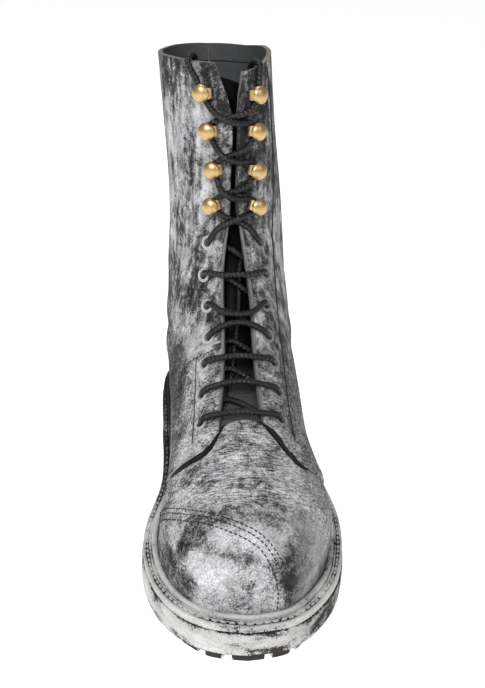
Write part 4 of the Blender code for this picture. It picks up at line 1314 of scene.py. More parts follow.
def slanted_run(further):
    """The inner side's slanting overlay edge, from the throat outwards, or a row beside it."""
    distance = np.linspace(*SLANT_REACH, SLANT_RUN_POINTS)
    u = np.interp(distance, SLANT["distance"], SLANT["u"]) + further / FORM_RUN
    off_facing = (26.0, 29.0)
    lift = np.interp(distance, off_facing, (STAY_TOP + 0.1, QUARTER_STEP + 0.3))
    return skin("medial", u, v_from_front("medial", u, distance), lift + folds("medial", u, 0.7))


def line_mesh(name, runs):
    """A mesh of bare edges along runs of points."""
    points = np.concatenate(runs)
    edges, start = [], 0
    for run in runs:
        edges += [(start + k, start + k + 1) for k in range(len(run) - 1)]
        start += len(run)
    mesh = bpy.data.meshes.new(name)
    mesh.from_pydata([tuple(p) for p in to_metres(points)], edges, [])
    return mesh


def tree_inputs(name, **inputs):
    """An empty Geometry Nodes tree with named inputs, which its modifier takes by identifier."""
    tree = bpy.data.node_groups.new(name, "GeometryNodeTree")
    tree.interface.new_socket("Geometry", in_out="INPUT", socket_type="NodeSocketGeometry")
    for title, kind in inputs.items():
        tree.interface.new_socket(title, in_out="INPUT", socket_type="NodeSocket" + kind)
    tree.interface.new_socket("Geometry", in_out="OUTPUT", socket_type="NodeSocketGeometry")
    web = Web(tree)
    source = tree.nodes.new("NodeGroupInput")
    wires = {socket.name: Wire(web, socket) for socket in source.outputs if socket.name}
    return web, wires


def tree_end(web, instances, material):
    """Realizes the instances, gives them their material and ends the tree."""
    real = web.node("GeometryNodeRealizeInstances", None, {"Geometry": instances})
    done = web.node("GeometryNodeSetMaterial", None, {"Geometry": real, "Material": material})
    end = web.tree.nodes.new("NodeGroupOutput")
    web.put(end.inputs["Geometry"], done)
    return web.tree


def stitch_tree():
    """Stitches along edges: a rounded grain at each step, turned along the run."""
    web, given = tree_inputs(
        "stitch_run", Pitch="Float", Length="Float", Thickness="Float", Thread="Material",
    )
    runs = web.node("GeometryNodeMeshToCurve", None, {"Mesh": given["Geometry"]})
    spaced = {"Curve": runs, "Length": given["Pitch"]}
    steps = web.node("GeometryNodeResampleCurve", {"mode": "LENGTH"}, spaced)
    ball = web.node("GeometryNodeMeshUVSphere", None, {"Segments": 6, "Rings": 5, "Radius": 0.5})
    extents = {"X": given["Thickness"], "Y": given["Thickness"], "Z": given["Length"]}
    size = web.node("ShaderNodeCombineXYZ", None, extents)
    grain = web.node("GeometryNodeTransform", None, {"Geometry": ball, "Scale": size})
    ahead = web.node("GeometryNodeInputTangent")
    turn = web.node("FunctionNodeAlignRotationToVector", {"axis": "Z"}, {"Vector": ahead})
    stitches = {"Points": steps, "Instance": grain, "Rotation": turn}
    placed = web.node("GeometryNodeInstanceOnPoints", None, stitches)
    return tree_end(web, placed, given["Thread"])


def on_seats(web, points, shape):
    """A shape on each point, turned by the point's own angles."""
    angles = web.node("GeometryNodeInputNamedAttribute", {"data_type": "FLOAT_VECTOR"}, {"Name": "turn"})
    turn = web.node("FunctionNodeEulerToRotation", None, {"Euler": angles})
    fittings = {"Points": points, "Instance": shape, "Rotation": turn}
    return web.node("GeometryNodeInstanceOnPoints", None, fittings)


def ring_tree():
    """An eyelet on each vertex: a rolled rim, a low band and a thin outer line."""
    web, given = tree_inputs("eyelet_rings", Hole="Float", Outer="Float", Metal="Material")
    hole, outer = given["Hole"], given["Outer"]
    rolled_rim = (hole + 0.45 * MM, 0.5 * MM, 1.0)
    low_band = ((hole + outer) * 0.5, (outer - hole) * 0.45, 0.22)
    outer_line = (outer - 0.3 * MM, 0.3 * MM, 0.9)
    rings = []
    for radius, roll, flat in (rolled_rim, low_band, outer_line):
        path = web.node("GeometryNodeCurvePrimitiveCircle", None, {"Resolution": 28, "Radius": radius})
        edge = web.node("GeometryNodeCurvePrimitiveCircle", None, {"Resolution": 8, "Radius": roll})
        ring = web.node("GeometryNodeCurveToMesh", None, {"Curve": path, "Profile Curve": edge})
        flattened = {"Geometry": ring, "Scale": (1.0, 1.0, flat)}
        rings.append(web.node("GeometryNodeTransform", None, flattened))
    eyelet = web.node("GeometryNodeJoinGeometry", None, {"Geometry": rings})
    return tree_end(web, on_seats(web, given["Geometry"], eyelet), given["Metal"])


def hook_tree():
    """One shaped hook on each vertex."""
    web, given = tree_inputs("lacing_hooks", Hook="Object", Metal="Material")
    shape = web.node("GeometryNodeObjectInfo", None, {"Object": given["Hook"]}, output="Geometry")
    return tree_end(web, on_seats(web, given["Geometry"], shape), given["Metal"])


def grown(name, base, tree, **values):
    """The mesh that a tree makes from a base mesh, with its inputs set before it is first evaluated."""
    worked = bpy.data.objects.new(name, base)
    nodes = worked.modifiers.new(name, "NODES")
    nodes.node_group = tree
    for socket in tree.interface.items_tree:
        if socket.in_out == "INPUT" and socket.name in values:
            nodes[socket.identifier] = values[socket.name]
    bpy.context.scene.collection.objects.link(worked)
    return settled(worked)


# A step towards the throat, which shows how a fitting is turned.
SEAT_PROBE = 2.0


def seats(kind, rows, lift):
    """Points, Euler angles and node names of the fittings on both facings.

    A fitting's Z points outwards and its X towards the throat.
    """
    points, angles, names = [], [], []
    for side in SIDES:
        for number, (u, front) in enumerate(zip(rows["u"], rows[side]), 1):
            v = v_from_front(side, u, front)
            here = skin(side, u, v, lift)
            out = unit(skin(side, u, v, 1.0) - skin(side, u, v, 0.0))
            nearer = skin(side, u, v_from_front(side, u, front - SEAT_PROBE), lift) - here
            x = unit(nearer - out * np.dot(nearer, out))
            y = np.cross(out, x)
            points.append(here)
            angles.append(Matrix((x, y, out)).transposed().to_euler())
            names.append(f"{kind}_{side}_{number}")
    return np.array(points), angles, names


def seat_mesh(name, points, angles):
    """A mesh of bare points that carry their angles."""
    mesh = bpy.data.meshes.new(name)
    mesh.from_pydata([tuple(p) for p in to_metres(points)], [], [])
    layer = mesh.attributes.new("turn", "FLOAT_VECTOR", "POINT")
    layer.data.foreach_set("vector", np.array(angles, np.float32).ravel())
    return mesh


# A hook: radius of its foot, thickness of its strip, height of its dome and of the dome's rim.
HOOK_BASE, HOOK_PLATE, HOOK_TALL, HOOK_RIM = 3.4, 0.9, 3.1, 4.6
HOOK_TURNS, HOOK_RINGS, HOOK_STRIP_POINTS = 24, 7, 22
# Its bent strip, from under the dome over the throat side and back to its foot: x towards the throat.
HOOK_STRIP = columns(
    "x z half_width",
    (-1.5, 5.6, 4.2), (1.6, 5.5, 4.0), (3.9, 5.0, 3.1), (5.3, 3.9, 2.7), (5.6, 2.6, 2.6),
    (4.9, 1.4, 2.6), (3.4, 0.8, 2.7), (0.5, 0.6, 3.0),
)


def hook_mesh(dome):
    """A lacing hook at the origin, in metres: a dome, a strip bent round the throat side and a foot."""
    work = bmesh.new()

    def skinned(rings):
        """Faces from each ring of corners to the next, and over both ends."""
        size = len(rings[0])
        for low, high in zip(rings, rings[1:]):
            for k in range(size):
                m = (k + 1) % size
                work.faces.new((low[k], low[m], high[m], high[k]))
        work.faces.new(rings[0][::-1])
        work.faces.new(rings[-1])

    def turned(profile):
        """A solid turned from points of (radius, height)."""
        angles = [2 * math.pi * k / HOOK_TURNS for k in range(HOOK_TURNS)]
        skinned([
            [work.verts.new((r * math.cos(a) * MM, r * math.sin(a) * MM, z * MM)) for a in angles]
            for r, z in profile
        ])

    arc = np.linspace(0, math.pi / 2 * 0.97, HOOK_RINGS)
    over = [(dome * math.cos(a), HOOK_RIM + 0.3 + HOOK_TALL * math.sin(a)) for a in arc]
    turned([(dome - 0.7, HOOK_RIM), *over])
    turned([(HOOK_BASE, 0.0), (HOOK_BASE, 0.5), (HOOK_BASE - 0.5, 0.8)])
    strip = np.column_stack([HOOK_STRIP[name] for name in ("x", "z", "half_width")])
    along = lengths(strip[:, :2])
    at = np.linspace(0, along[-1], HOOK_STRIP_POINTS)
    x, z, half = (spline(along, strip[:, k], at) for k in range(3))
    normal = unit(np.column_stack([-np.gradient(z), np.gradient(x)]))
    corners = []
    for k in range(len(at)):
        ring = []
        for side, far in ((-1, 0.5), (1, 0.5), (1, -0.5), (-1, -0.5)):
            px, pz = np.array([x[k], z[k]]) + normal[k] * far * HOOK_PLATE
            ring.append(work.verts.new((px * MM, side * half[k] * MM, pz * MM)))
        corners.append(ring)
    skinned(corners)
    bmesh.ops.recalc_face_normals(work, faces=work.faces)
    mesh = bpy.data.meshes.new("hook")
    work.to_mesh(mesh)
    work.free()
    return mesh


# Heights of the lace's middle above the skin, and the room in u that it keeps from a hook's middle.
LACE_ON_FACING = STAY_TOP + 2.2
LACE_OVER = LACE_ON_FACING + 3.5
LACE_INSIDE = -WALL - 2.4
HOOK_CLEAR = 0.0165
# Millimetres from one point of a cord's route to the next.
LACE_STEP, LACE_END_STEP = 1.4, 1.5
# How far a bar's middle is pushed up the boot (or sags, below 0), by eyelet.
BAR_BOW = {2: -0.016, 3: -0.030, 4: 0.010, 5: -0.004, 6: 0.001, 7: -0.005}


def at_fitting(rows, number, sign):
    """u and signed distance from the front line of an eyelet or hook. sign is -1 on the inner side."""
    side = "medial" if sign < 0 else "lateral"
    return rows["u"][number - 1], sign * rows[side][number - 1]


def through_eyelet(number, sign):
    """Places from inside an eyelet to over its edge, on the way to the throat."""
    u, x = at_fitting(EYELETS, number, sign)
    return [
        (u, x + 1.4 * sign, LACE_INSIDE), (u, x + 0.5 * sign, -1.4),
        (u, x - 0.1 * sign, 2.0), (u, x - 2.6 * sign, LACE_ON_FACING + 0.3),
    ]


def lace_bar(number):
    """A bar from inside the outer eyelet, over the throat, to inside the inner eyelet."""
    bow, places_over = BAR_BOW[number], []
    for sign in (1, -1):
        u, x = at_fitting(EYELETS, number, sign)
        over = [
            (u + 0.55 * bow, 0.55 * x, LACE_ON_FACING + 0.7),
            (u + 0.95 * bow, 0.2 * x, LACE_ON_FACING + 1.0),
        ]
        half = through_eyelet(number, sign) + over
        places_over += half if sign == 1 else half[::-1]
    return places_over


def under_run(number):
    """The hidden stretch from an inner eyelet to the outer eyelet below it."""
    (u0, x0), (u1, x1) = at_fitting(EYELETS, number, -1), at_fitting(EYELETS, number + 1, 1)
    return [
        (u0 - 0.010, 0.75 * x0, LACE_INSIDE - 0.5), ((2 * u0 + u1) / 3, 0.3 * x0, -2.4),
        ((u0 + 2 * u1) / 3, 0.3 * x1, -2.4), (u1 + 0.010, 0.75 * x1, LACE_INSIDE - 0.5),
    ]


def crossing(number, sign):
    """The strand from a hook's upper neighbour on one side down to the hook, whose side is sign.

    On its way to the outer side it drops steeply, lies on top and then runs level to the lower hook.
    """
    upper, far = at_fitting(HOOKS, number + 1, -sign)
    lower, near = at_fitting(HOOKS, number, sign)
    top, foot = upper - HOOK_CLEAR, lower + HOOK_CLEAR
    drop = top - foot
    start, end = (top, far + 1.6 * sign, LACE_ON_FACING), (foot, near - 2.4 * sign, LACE_ON_FACING)
    if sign == 1:
        middle = [
            (foot + 0.52 * drop, 0.62 * far, LACE_OVER - 0.9),
            (foot + 0.14 * drop, 0.28 * far, LACE_OVER),
            (foot - 0.02 * drop, 0.3 * near, LACE_ON_FACING + 1.2),
        ]
    else:
        middle = [
            (foot + 0.62 * drop, 0.6 * far, LACE_ON_FACING),
            (foot + 0.34 * drop, 0.1 * far, LACE_ON_FACING),
            (foot + 0.16 * drop, 0.4 * near, LACE_ON_FACING - 0.3),
        ]
    return [start, *middle, end]


def hook_pass(number, sign):
    """The stretch under a hook's dome, round the outside of its neck."""
    u, x = at_fitting(HOOKS, number, sign)
    return [(u, x + 0.9 * sign, LACE_ON_FACING - 0.2)]


def lace_knots():
    """The lace from the inner top hook down through every eyelet and up to the outer top hook."""
    down = hook_pass(len(HOOKS["u"]), -1)
    for number, sign in ((3, 1), (2, -1), (1, 1)):
        down += crossing(number, sign) + hook_pass(number, sign)
    low = HOOKS["u"][0] - HOOK_CLEAR
    hole = EYELETS["u"][0]
    (_, outer_hook), (_, inner_hook) = at_fitting(HOOKS, 1, 1), at_fitting(HOOKS, 1, -1)
    down += [
        (low, outer_hook - 1.6, LACE_ON_FACING), (low - 0.016, 7.0, LACE_ON_FACING + 0.8),
        (low - 0.034, 1.5, LACE_OVER), (hole + 0.030, -5.0, LACE_ON_FACING + 1.6),
        (hole + 0.013, -10.5, LACE_ON_FACING + 0.6), *through_eyelet(1, -1)[::-1],
    ]
    for number in range(2, len(EYELETS["u"]) + 1):
        down += under_run(number - 1) + lace_bar(number)
    # Hidden between the facings and the tongue, from the lowest inner eyelet to the top outer one.
    up = [
        (0.305, -17, -5.6), (0.34, -9, -6.2), (0.40, -4, -6.3), (0.47, 1, -6.3), (0.54, 4, -6.3),
        (0.585, 9, -6.0), (0.600, 13.5, LACE_INSIDE - 0.6),
    ]
    up += through_eyelet(1, 1) + [
        (hole + 0.022, 8.0, LACE_ON_FACING), (hole + 0.040, 1.0, LACE_ON_FACING - 0.3),
        (low - 0.022, -5.5, LACE_ON_FACING), (low, inner_hook + 1.6, LACE_ON_FACING),
    ] + hook_pass(1, -1)
    for number, sign in ((1, -1), (2, 1), (3, -1)):
        up += crossing(number, sign)[::-1] + hook_pass(number + 1, -sign)
    return np.array([front_point(*place) for place in down + up])


# The camera: its lens, its place in metres and its angles in degrees, turn about the tilted view's up.
LENS, SENSOR, NEAREST = 48.08, 36.0, 0.01
CAMERA_PLACE = (-0.0610, -0.4961, 0.3370)
CAMERA_YAW, CAMERA_PITCH, CAMERA_TURN = -0.28, 24.0, 6.7
# Half the floor's side, its own glow and the sky's, and the soft lights with the place that they face.
FLOOR_HALF, FLOOR_GLOW, SKY_GLOW = 14.0, 0.74, 0.30
LIT_PLACE = (0.0, 0.0, 0.12)
SOFTBOXES = columns(
    "x y z size power",
    (-0.6, -1.1, 1.2, 0.8, 17),
    (0.8, -1.0, 1.0, 0.8, 3.5),
    (-0.1, 0.5, 1.6, 0.9, 7),
)


class BOOT_OT_stage(bpy.types.Operator):
    """Floor, lights and the camera at the photograph's angle"""

    bl_idname = "boot.stage"
    bl_label = "Stage"

    def execute(self, context):
        scene = context.scene
        scene.view_settings.view_transform = "Standard"
        self.add_camera(scene)
        self.add_floor(scene)
        self.add_lights(scene)
        return {"FINISHED"}

    def add_camera(self, scene):
        """The camera as fitted to the photograph."""
        data = bpy.data.cameras.new("camera")
        data.lens, data.sensor_width = LENS, SENSOR
        data.clip_start = NEAREST
        camera = bpy.data.objects.new("camera", data)
        yaw, pitch, turn = (math.radians(a) for a in (CAMERA_YAW, CAMERA_PITCH, CAMERA_TURN))
        level_reach = math.cos(pitch)
        ahead = Vector((math.sin(yaw) * level_reach, math.cos(yaw) * level_reach, -math.sin(pitch)))
        right = Vector((math.cos(yaw), -math.sin(yaw), 0.0))
        up = right.cross(ahead)
        ahead = ahead * math.cos(turn) + right * math.sin(turn)
        right = ahead.cross(up)
        turned = Matrix((right, up, -ahead)).transposed().to_4x4()
        camera.matrix_world = Matrix.Translation(CAMERA_PLACE) @ turned
        scene.collection.objects.link(camera)
        scene.camera = camera

    def add_floor(self, scene):
        """A wide pale floor, which fills the frame."""
        finish = Finish("pale_floor")
        finish.surface(base_color=(0.82, 0.82, 0.82, 1.0), roughness=0.8)
        finish.surface(emission_color=(1.0, 1.0, 1.0, 1.0), emission_strength=FLOOR_GLOW)
        work = bmesh.new()
        bmesh.ops.create_grid(work, x_segments=1, y_segments=1, size=FLOOR_HALF)
        mesh = bpy.data.meshes.new("floor")
        work.to_mesh(mesh)
        work.free()
        mesh.materials.append(finish.material)
        floor = bpy.data.objects.new("floor", mesh)
        scene.collection.objects.link(floor)

    def add_lights(self, scene):
        """A pale sky and three soft lights."""
        world = bpy.data.worlds.new("studio")
        world.use_nodes = True
        sky = world.node_tree.nodes["Background"]
        sky.inputs["Color"].default_value = (1.0, 1.0, 1.0, 1.0)
        sky.inputs["Strength"].default_value = SKY_GLOW
        scene.world = world
        for number, (x, y, z, size, power) in enumerate(zip(*SOFTBOXES.values()), 1):
            data = bpy.data.lights.new(f"softbox_{number}", "AREA")
            data.size, data.energy = size, power
            light = bpy.data.objects.new(data.name, data)
            light.location = (x, y, z)
            facing = Vector(LIT_PLACE) - light.location
            light.rotation_euler = facing.to_track_quat("-Z", "Y").to_euler()
            scene.collection.objects.link(light)


class BOOT_OT_lace_ends(bpy.types.Operator):
    """The lace's two free ends, over the rim and down inside the shaft"""

    bl_idname = "boot.lace_ends"
    bl_label = "Lace ends"

    def execute(self, context):
        radius = context.scene.boot_sizes.lace_radius / MM
        cord = braided_cord("waxed_lace_end", tuple(context.scene.boot_colours.cord))
        for side in SIDES:
            rows = zip(*LACE_ENDS[side].values())
            knots = np.array([front_point(*row[:3]) + (0, 0, row[3]) for row in rows])
            route = smooth_route(knots, LACE_END_STEP)
            name = "lace_end_cord_" + side
            mesh = tube_mesh(name, route, radius)
            piece = add_piece(name, mesh, [cord], "waxed_cord", ["lace_end_" + side], smooth=60)
            path = to_metres(route)
        return {"FINISHED"}


# The sole's layers where their paint is gone.
BARE_WELT, BARE_MIDSOLE = (0.02, 0.02, 0.021), (0.03, 0.029, 0.028)
# The welt's bead: its middle from the foot of the upper and above the welt, and its radius.
BEAD_MIDDLE, BEAD_RISE, BEAD_RADIUS = 2.6, 1.0, 1.7
HEEL_INSET = 1.0


class BOOT_OT_sole(bpy.types.Operator):
    """Welt, midsole, outsole, heel and insole"""

    bl_idname = "boot.sole"
    bl_label = "Sole"

    def execute(self, context):
        colours = context.scene.boot_colours
        pale, rubber = tuple(colours.pale), tuple(colours.rubber)
        welt = dirty_shaded_sole("painted_welt", pale, BARE_WELT, cover=0.55, outer_shade=0.05)
        side = dirty_shaded_sole("painted_midsole", pale, BARE_MIDSOLE, cover=0.5, outer_shade=0.46)
        tread = dirty_shaded_sole("tread_rubber", pale, rubber, cover=0.42, outer_shade=0.3)
        strip = ring_mesh("welt_strip", self.welt_section())
        add_piece("welt_strip", strip, [welt], "welt_leather", ["welt"])
        layer = layer_mesh("midsole_layer", self.midsole_section())
        add_piece("midsole_layer", layer, [side], "pale_rubber", ["midsole"])
        middle = [((-CROSS_GROOVE_HALF, s), (CROSS_GROOVE_HALF, s)) for s in CROSS_GROOVES]
        sole = carved("outsole_tread", layer_mesh("outsole_tread", self.outsole_section()), [
            (edge_routes(), EDGE_GROOVE_WIDTH, groove_z), (middle, CROSS_GROOVE_WIDTH, groove_z),
        ])
        add_piece("outsole_tread", sole, [tread], "dark_rubber", ["outsole"], smooth=30)
        across = [((-HEEL_GROOVE_HALF, s), (HEEL_GROOVE_HALF, s)) for s in HEEL_GROOVES]
        along = inset_edges(HEEL_INSET, OUTLINE_POINTS)["medial"][:, 1]
        start = float(np.interp(HEEL_BREAST, along, np.linspace(0, 1, OUTLINE_POINTS)))
        heel = carved("heel_block", layer_mesh("heel_block", self.heel_section(), start), [
            (across, HEEL_GROOVE_WIDTH, level(HEEL_GROOVE)),
        ])
        add_piece("heel_block", heel, [tread], "dark_rubber", ["heel"], smooth=30)
        board = plain_leather(
            "insole_board", (0.10, 0.085, 0.07), roughness=0.75, grain_size=1.6, grain_depth=0.2,
        )
        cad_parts["insole"].data.materials.clear()
        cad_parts["insole"].data.materials.append(board)
        return {"FINISHED"}

    def welt_section(self):
        """Lip, stitched top and the rounded bead along the upper."""
        bottom = below(WELT - GAP)
        bead = []
        for a in np.linspace(-0.5, math.pi, 9):
            inset = from_feather(-BEAD_MIDDLE - BEAD_RADIUS * math.cos(a))
            bead.append((inset, below(-BEAD_RISE - BEAD_RADIUS * math.sin(a)), 0.1))
        return [
            (WELT_LIP, bottom, 0.9), (0.7, below(3.4), 0.3), (0.6, below(1.6), 0.1),
            (0.7, below(0.6), 0.1), (across_welt(0.0), below(0.1), 0.1), (across_welt(0.2), below(0.0), 0.1),
            (across_welt(0.32), below(0.3), 1.1), (across_welt(0.68), below(0.3), 1.1),
            (across_welt(0.8), below(0.0), 0.1), (across_welt(0.93), below(0.1), 0.3),
            (across_welt(1.0), below(0.4), 1.1), *bead, (from_feather(-0.6), bottom, 1.0),
        ]

    def midsole_section(self):
        """One full band with soft edges, so that it reads as a thick pale layer."""
        top, bottom = WELT, WELT + MIDSOLE + 0.1
        return [
            (2.2, below(top), 1.0), (0.7, below(top + 0.1), 0.75), (0.25, below(top + 0.6), 0.4),
            (0.05, below(top + 1.8), 0.15), (0.0, below(top + 3.4), 0.1), (0.0, below(top + 5.0), 0.05),
            (0.0, below(bottom - 2.0), 0.1), (0.05, below(bottom - 0.8), 0.15),
            (0.1, below(bottom - 0.1), 0.25), (2.0, below(bottom), 1.0),
        ]

    def outsole_section(self):
        """The plate's edge, still painted above, and the bare tread."""
        lip = TREAD_TOP + PLATE - PLATE_LIP
        return [
            (2.0, below(TREAD_TOP), 1.0), (0.15, below(TREAD_TOP + 0.1), 0.3),
            (0.15, below(TREAD_TOP + 0.9), 0.3), (0.2, below(TREAD_TOP + 2.2), 0.3),
            (0.3, below(lip - 0.7), 0.5), (0.8, below(lip), 1.2),
            (lug_edge(0.0), below(lip), 2.0), (lug_edge(0.4), underside, 2.2),
        ]

    def heel_section(self):
        """The heel's side, with a shallow line between its lift and its top piece."""
        return [
            (HEEL_INSET, below(TREAD_TOP + PLATE + GAP), 0.7), (HEEL_INSET, level(12.0), 0.3),
            (1.2, level(8.6), 0.6), (1.0, level(8.0), 0.9), (0.5, level(7.5), 0.5), (0.4, level(4.0), 0.6),
            (1.2, level(0.0), 1.0),
        ]


class BOOT_OT_upper(bpy.types.Operator):
    """Vamp, quarters and shaft as one hollow wall with its lining"""

    bl_idname = "boot.upper"
    bl_label = "Upper"

    def execute(self, context):
        colours = context.scene.boot_colours
        sheet = Sheet()
        for side in SIDES:
            sheet.patch(side, (0, FIRST_QUARTER), (0, LAST_COLUMN), 0.0, -WALL)
            sheet.step(side, FIRST_QUARTER, (0, FACING), 0.0, QUARTER_STEP, -WALL)
            sheet.patch(side, (FIRST_QUARTER, LAST_ROW), (0, FACING), QUARTER_STEP, -WALL)
        hide = painted_leather("painted_hide", colours)
        lining = plain_leather(
            "shaft_lining", tuple(colours.lining), roughness=0.78, grain_size=0.9, grain_depth=0.15,
        )
        edge = plain_leather(
            "raw_edge", tuple(colours.raw_edge), roughness=0.8, grain_size=0.7, grain_depth=0.1,
        )
        add_piece("upper_hide", sheet.mesh("upper_hide"), [hide, lining, edge], "worn_leather", ["upper"])
        return {"FINISHED"}


# Overlays are pared thin at their edge, the cap over a share of u and the facings over millimetres.
CAP_PARED_TO, CAP_PARED_OVER, FACING_PARED_OVER = 0.55, 0.05, 3.0
CAP_UNDER, FACING_UNDER = 0.2, QUARTER_STEP + 0.1


class BOOT_OT_toe_cap(bpy.types.Operator):
    """The asymmetric toe cap over the vamp"""

    bl_idname = "boot.toe_cap"
    bl_label = "Toe cap"

    def execute(self, context):
        sheet = Sheet()

        def pared(side, u, v):
            left = rounded_step(1 - u / edge_u(CAP_EDGE, side, v), 0.0, CAP_PARED_OVER)
            return OVERLAY_GAP + OVERLAY * (CAP_PARED_TO + (1 - CAP_PARED_TO) * left)

        for side in SIDES:
            sheet.patch(side, (0, CAP_ROWS), (0, LAST_COLUMN), pared, CAP_UNDER)
        hide = painted_leather("painted_cap", context.scene.boot_colours)
        dark = plain_leather(
            "cap_edge", (0.05, 0.05, 0.05), roughness=0.6, grain_size=0.8, grain_depth=0.1,
        )
        mesh = sheet.mesh("toe_cap_hide")
        add_piece("toe_cap_hide", mesh, [hide, hide, dark], "worn_leather", ["toe_cap"])
        return {"FINISHED"}


class BOOT_OT_facings(bpy.types.Operator):
    """The two facings that carry eyelets and hooks"""

    bl_idname = "boot.facings"
    bl_label = "Facings"

    def execute(self, context):
        colours = context.scene.boot_colours
        hide = painted_leather("painted_facing", colours)
        edge = painted_leather("facing_edge", colours)

        def pared(side, u, v):
            away = (1 - v) * girth(side, u)
            left = rounded_step(throat_line("stay", -away)(u), 0.0, FACING_PARED_OVER)
            return QUARTER_STEP + 0.25 + (OVERLAY + 0.05) * left

        for side in SIDES:
            sheet = Sheet()
            sheet.patch(side, (FIRST_QUARTER, LAST_ROW), (LOW_COLUMNS, FACING), pared, FACING_UNDER)
            name = "facing_" + side
            add_piece(name, sheet.mesh(name), [hide, hide, edge], "worn_leather", ["eyestay_" + side])
        return {"FINISHED"}


# Radii of the edges, the rolled ones thick enough to stand for the shadow under them too, and the spans of u
# that the facings' rims and the seam inside the back cover.
ROLLED_RADIUS, RIM_RADIUS, SLANT_RADIUS, LINING_SEAM_RADIUS = 1.9, 0.95, 0.75, 0.9
RIM_SPAN, LINING_SEAM_SPAN = (0.288, 0.66), (0.70, 0.995)


class BOOT_OT_edges(bpy.types.Operator):
    """Rolled edges of the quarters, thickened to stand for their shadow, rims of the facings, slanting edge
    and seam inside the back
    """

    bl_idname = "boot.edges"
    bl_label = "Edges"

    def execute(self, context):
        colours = context.scene.boot_colours
        hide, inside = tuple(1.3 * c for c in colours.leather), tuple(1.5 * c for c in colours.lining)
        black = plain_leather("rolled_edge", hide, roughness=0.45, grain_size=0.9, grain_depth=0.15)
        pale = plain_leather(
            "overlay_edge", (0.42, 0.42, 0.43), roughness=0.7, grain_size=0.8, grain_depth=0.2,
        )
        rim = plain_leather(
            "facing_rim", (0.16, 0.16, 0.164), roughness=0.6, grain_size=0.9, grain_depth=0.25,
        )
        lining = plain_leather("lining_seam", inside, roughness=0.7, grain_size=0.8, grain_depth=0.15)
        for side in SIDES:
            # The quarters' rolled edges are black tubes, swelled towards the throat so that they also stand
            # for the shadow under the edges: painted shadow.
            route = edge_run(QUARTER_EDGE, [side], 0.3, 0.5 * QUARTER_STEP, *ROLLED_EDGE[side])
            share = np.linspace(0, 1, len(route))
            swell = np.sqrt(np.clip(share / 0.6, 0.02, 1))
            thick = ROLLED_RADIUS * swell * (1 - 0.75 * rounded_step(share, 0.75, 1.0))
            name = "rolled_edge_" + side
            add_piece(name, tube_mesh(name, route, thick), [black], "worn_leather", smooth=60)
            route = front_run(side, throat_line("gap", 0.5), STAY_TOP - 0.75, *RIM_SPAN)
            name = "facing_rim_" + side
            add_piece(name, tube_mesh(name, route, RIM_RADIUS, 10), [rim], "worn_leather", smooth=60)
        slant = tube_mesh("overlay_edge", slanted_run(0.0), SLANT_RADIUS, 8)
        add_piece("overlay_edge", slant, [pale], "worn_leather", smooth=60)
        route = skin("medial", np.linspace(*LINING_SEAM_SPAN, 80), 0.0, -WALL - 0.2)
        seam = tube_mesh("lining_seam", route, LINING_SEAM_RADIUS, 8)
        add_piece("lining_seam", seam, [lining], "worn_leather", smooth=60)
        return {"FINISHED"}


# The tongue's front and back below the skin, its points along and across, its ripples and its raised foot.
TONGUE_DEPTHS, TONGUE_POINTS = (-7.2, -9.2), (120, 41)
TONGUE_RIPPLE, TONGUE_WAVES = 0.5, 95.0
TONGUE_FOOT_RISE, TONGUE_FOOT_SPAN = 4.4, (0.285, 0.40)


class BOOT_OT_tongue(bpy.types.Operator):
    """The black tongue behind the throat"""

    bl_idname = "boot.tongue"
    bl_label = "Tongue"

    def execute(self, context):
        sheet = Sheet()
        along, across = TONGUE_POINTS
        u = np.linspace(TONGUE["u"][0], TONGUE["u"][-1], along)
        reach = np.interp(u, TONGUE["u"], TONGUE["half_width"])
        foot = TONGUE_FOOT_RISE * (1 - rounded_step(u, *TONGUE_FOOT_SPAN))
        rows = []
        for share in np.linspace(-1, 1, across):
            side = "lateral" if share > 0 else "medial"
            v = v_from_front(side, u, reach * abs(share))
            ripple = TONGUE_RIPPLE * np.sin(u * TONGUE_WAVES + share * 2.0) * (1 - share ** 2)
            rows.append([skin(side, u, v, far + ripple + foot) for far in TONGUE_DEPTHS])
        grid = np.array(rows).transpose(1, 2, 0, 3)
        sheet.strip(grid[0], grid[1])
        hide = tongue_leather("tongue_hide", context.scene.boot_colours)
        add_piece("tongue_hide", sheet.mesh("tongue_hide"), [hide] * 3, "tongue_leather", ["tongue"])
        return {"FINISHED"}


# How far each row of stitches lies from its edge.
CAP_ROWS_IN, QUARTER_ROWS_IN, SLANT_ROW_IN, COLLAR_ROW_IN = (2.4, 5.0, 8.6), (3.4, 5.4), 5.0, 8.0
# The closer stitches of the seams, and the thickness of each thread.
SEAM_PITCH, SEAM_STITCH = 1.2, 1.7
ROW_THREAD, SEAM_THREAD, WELT_THREAD = 0.85, 0.9, 1.4


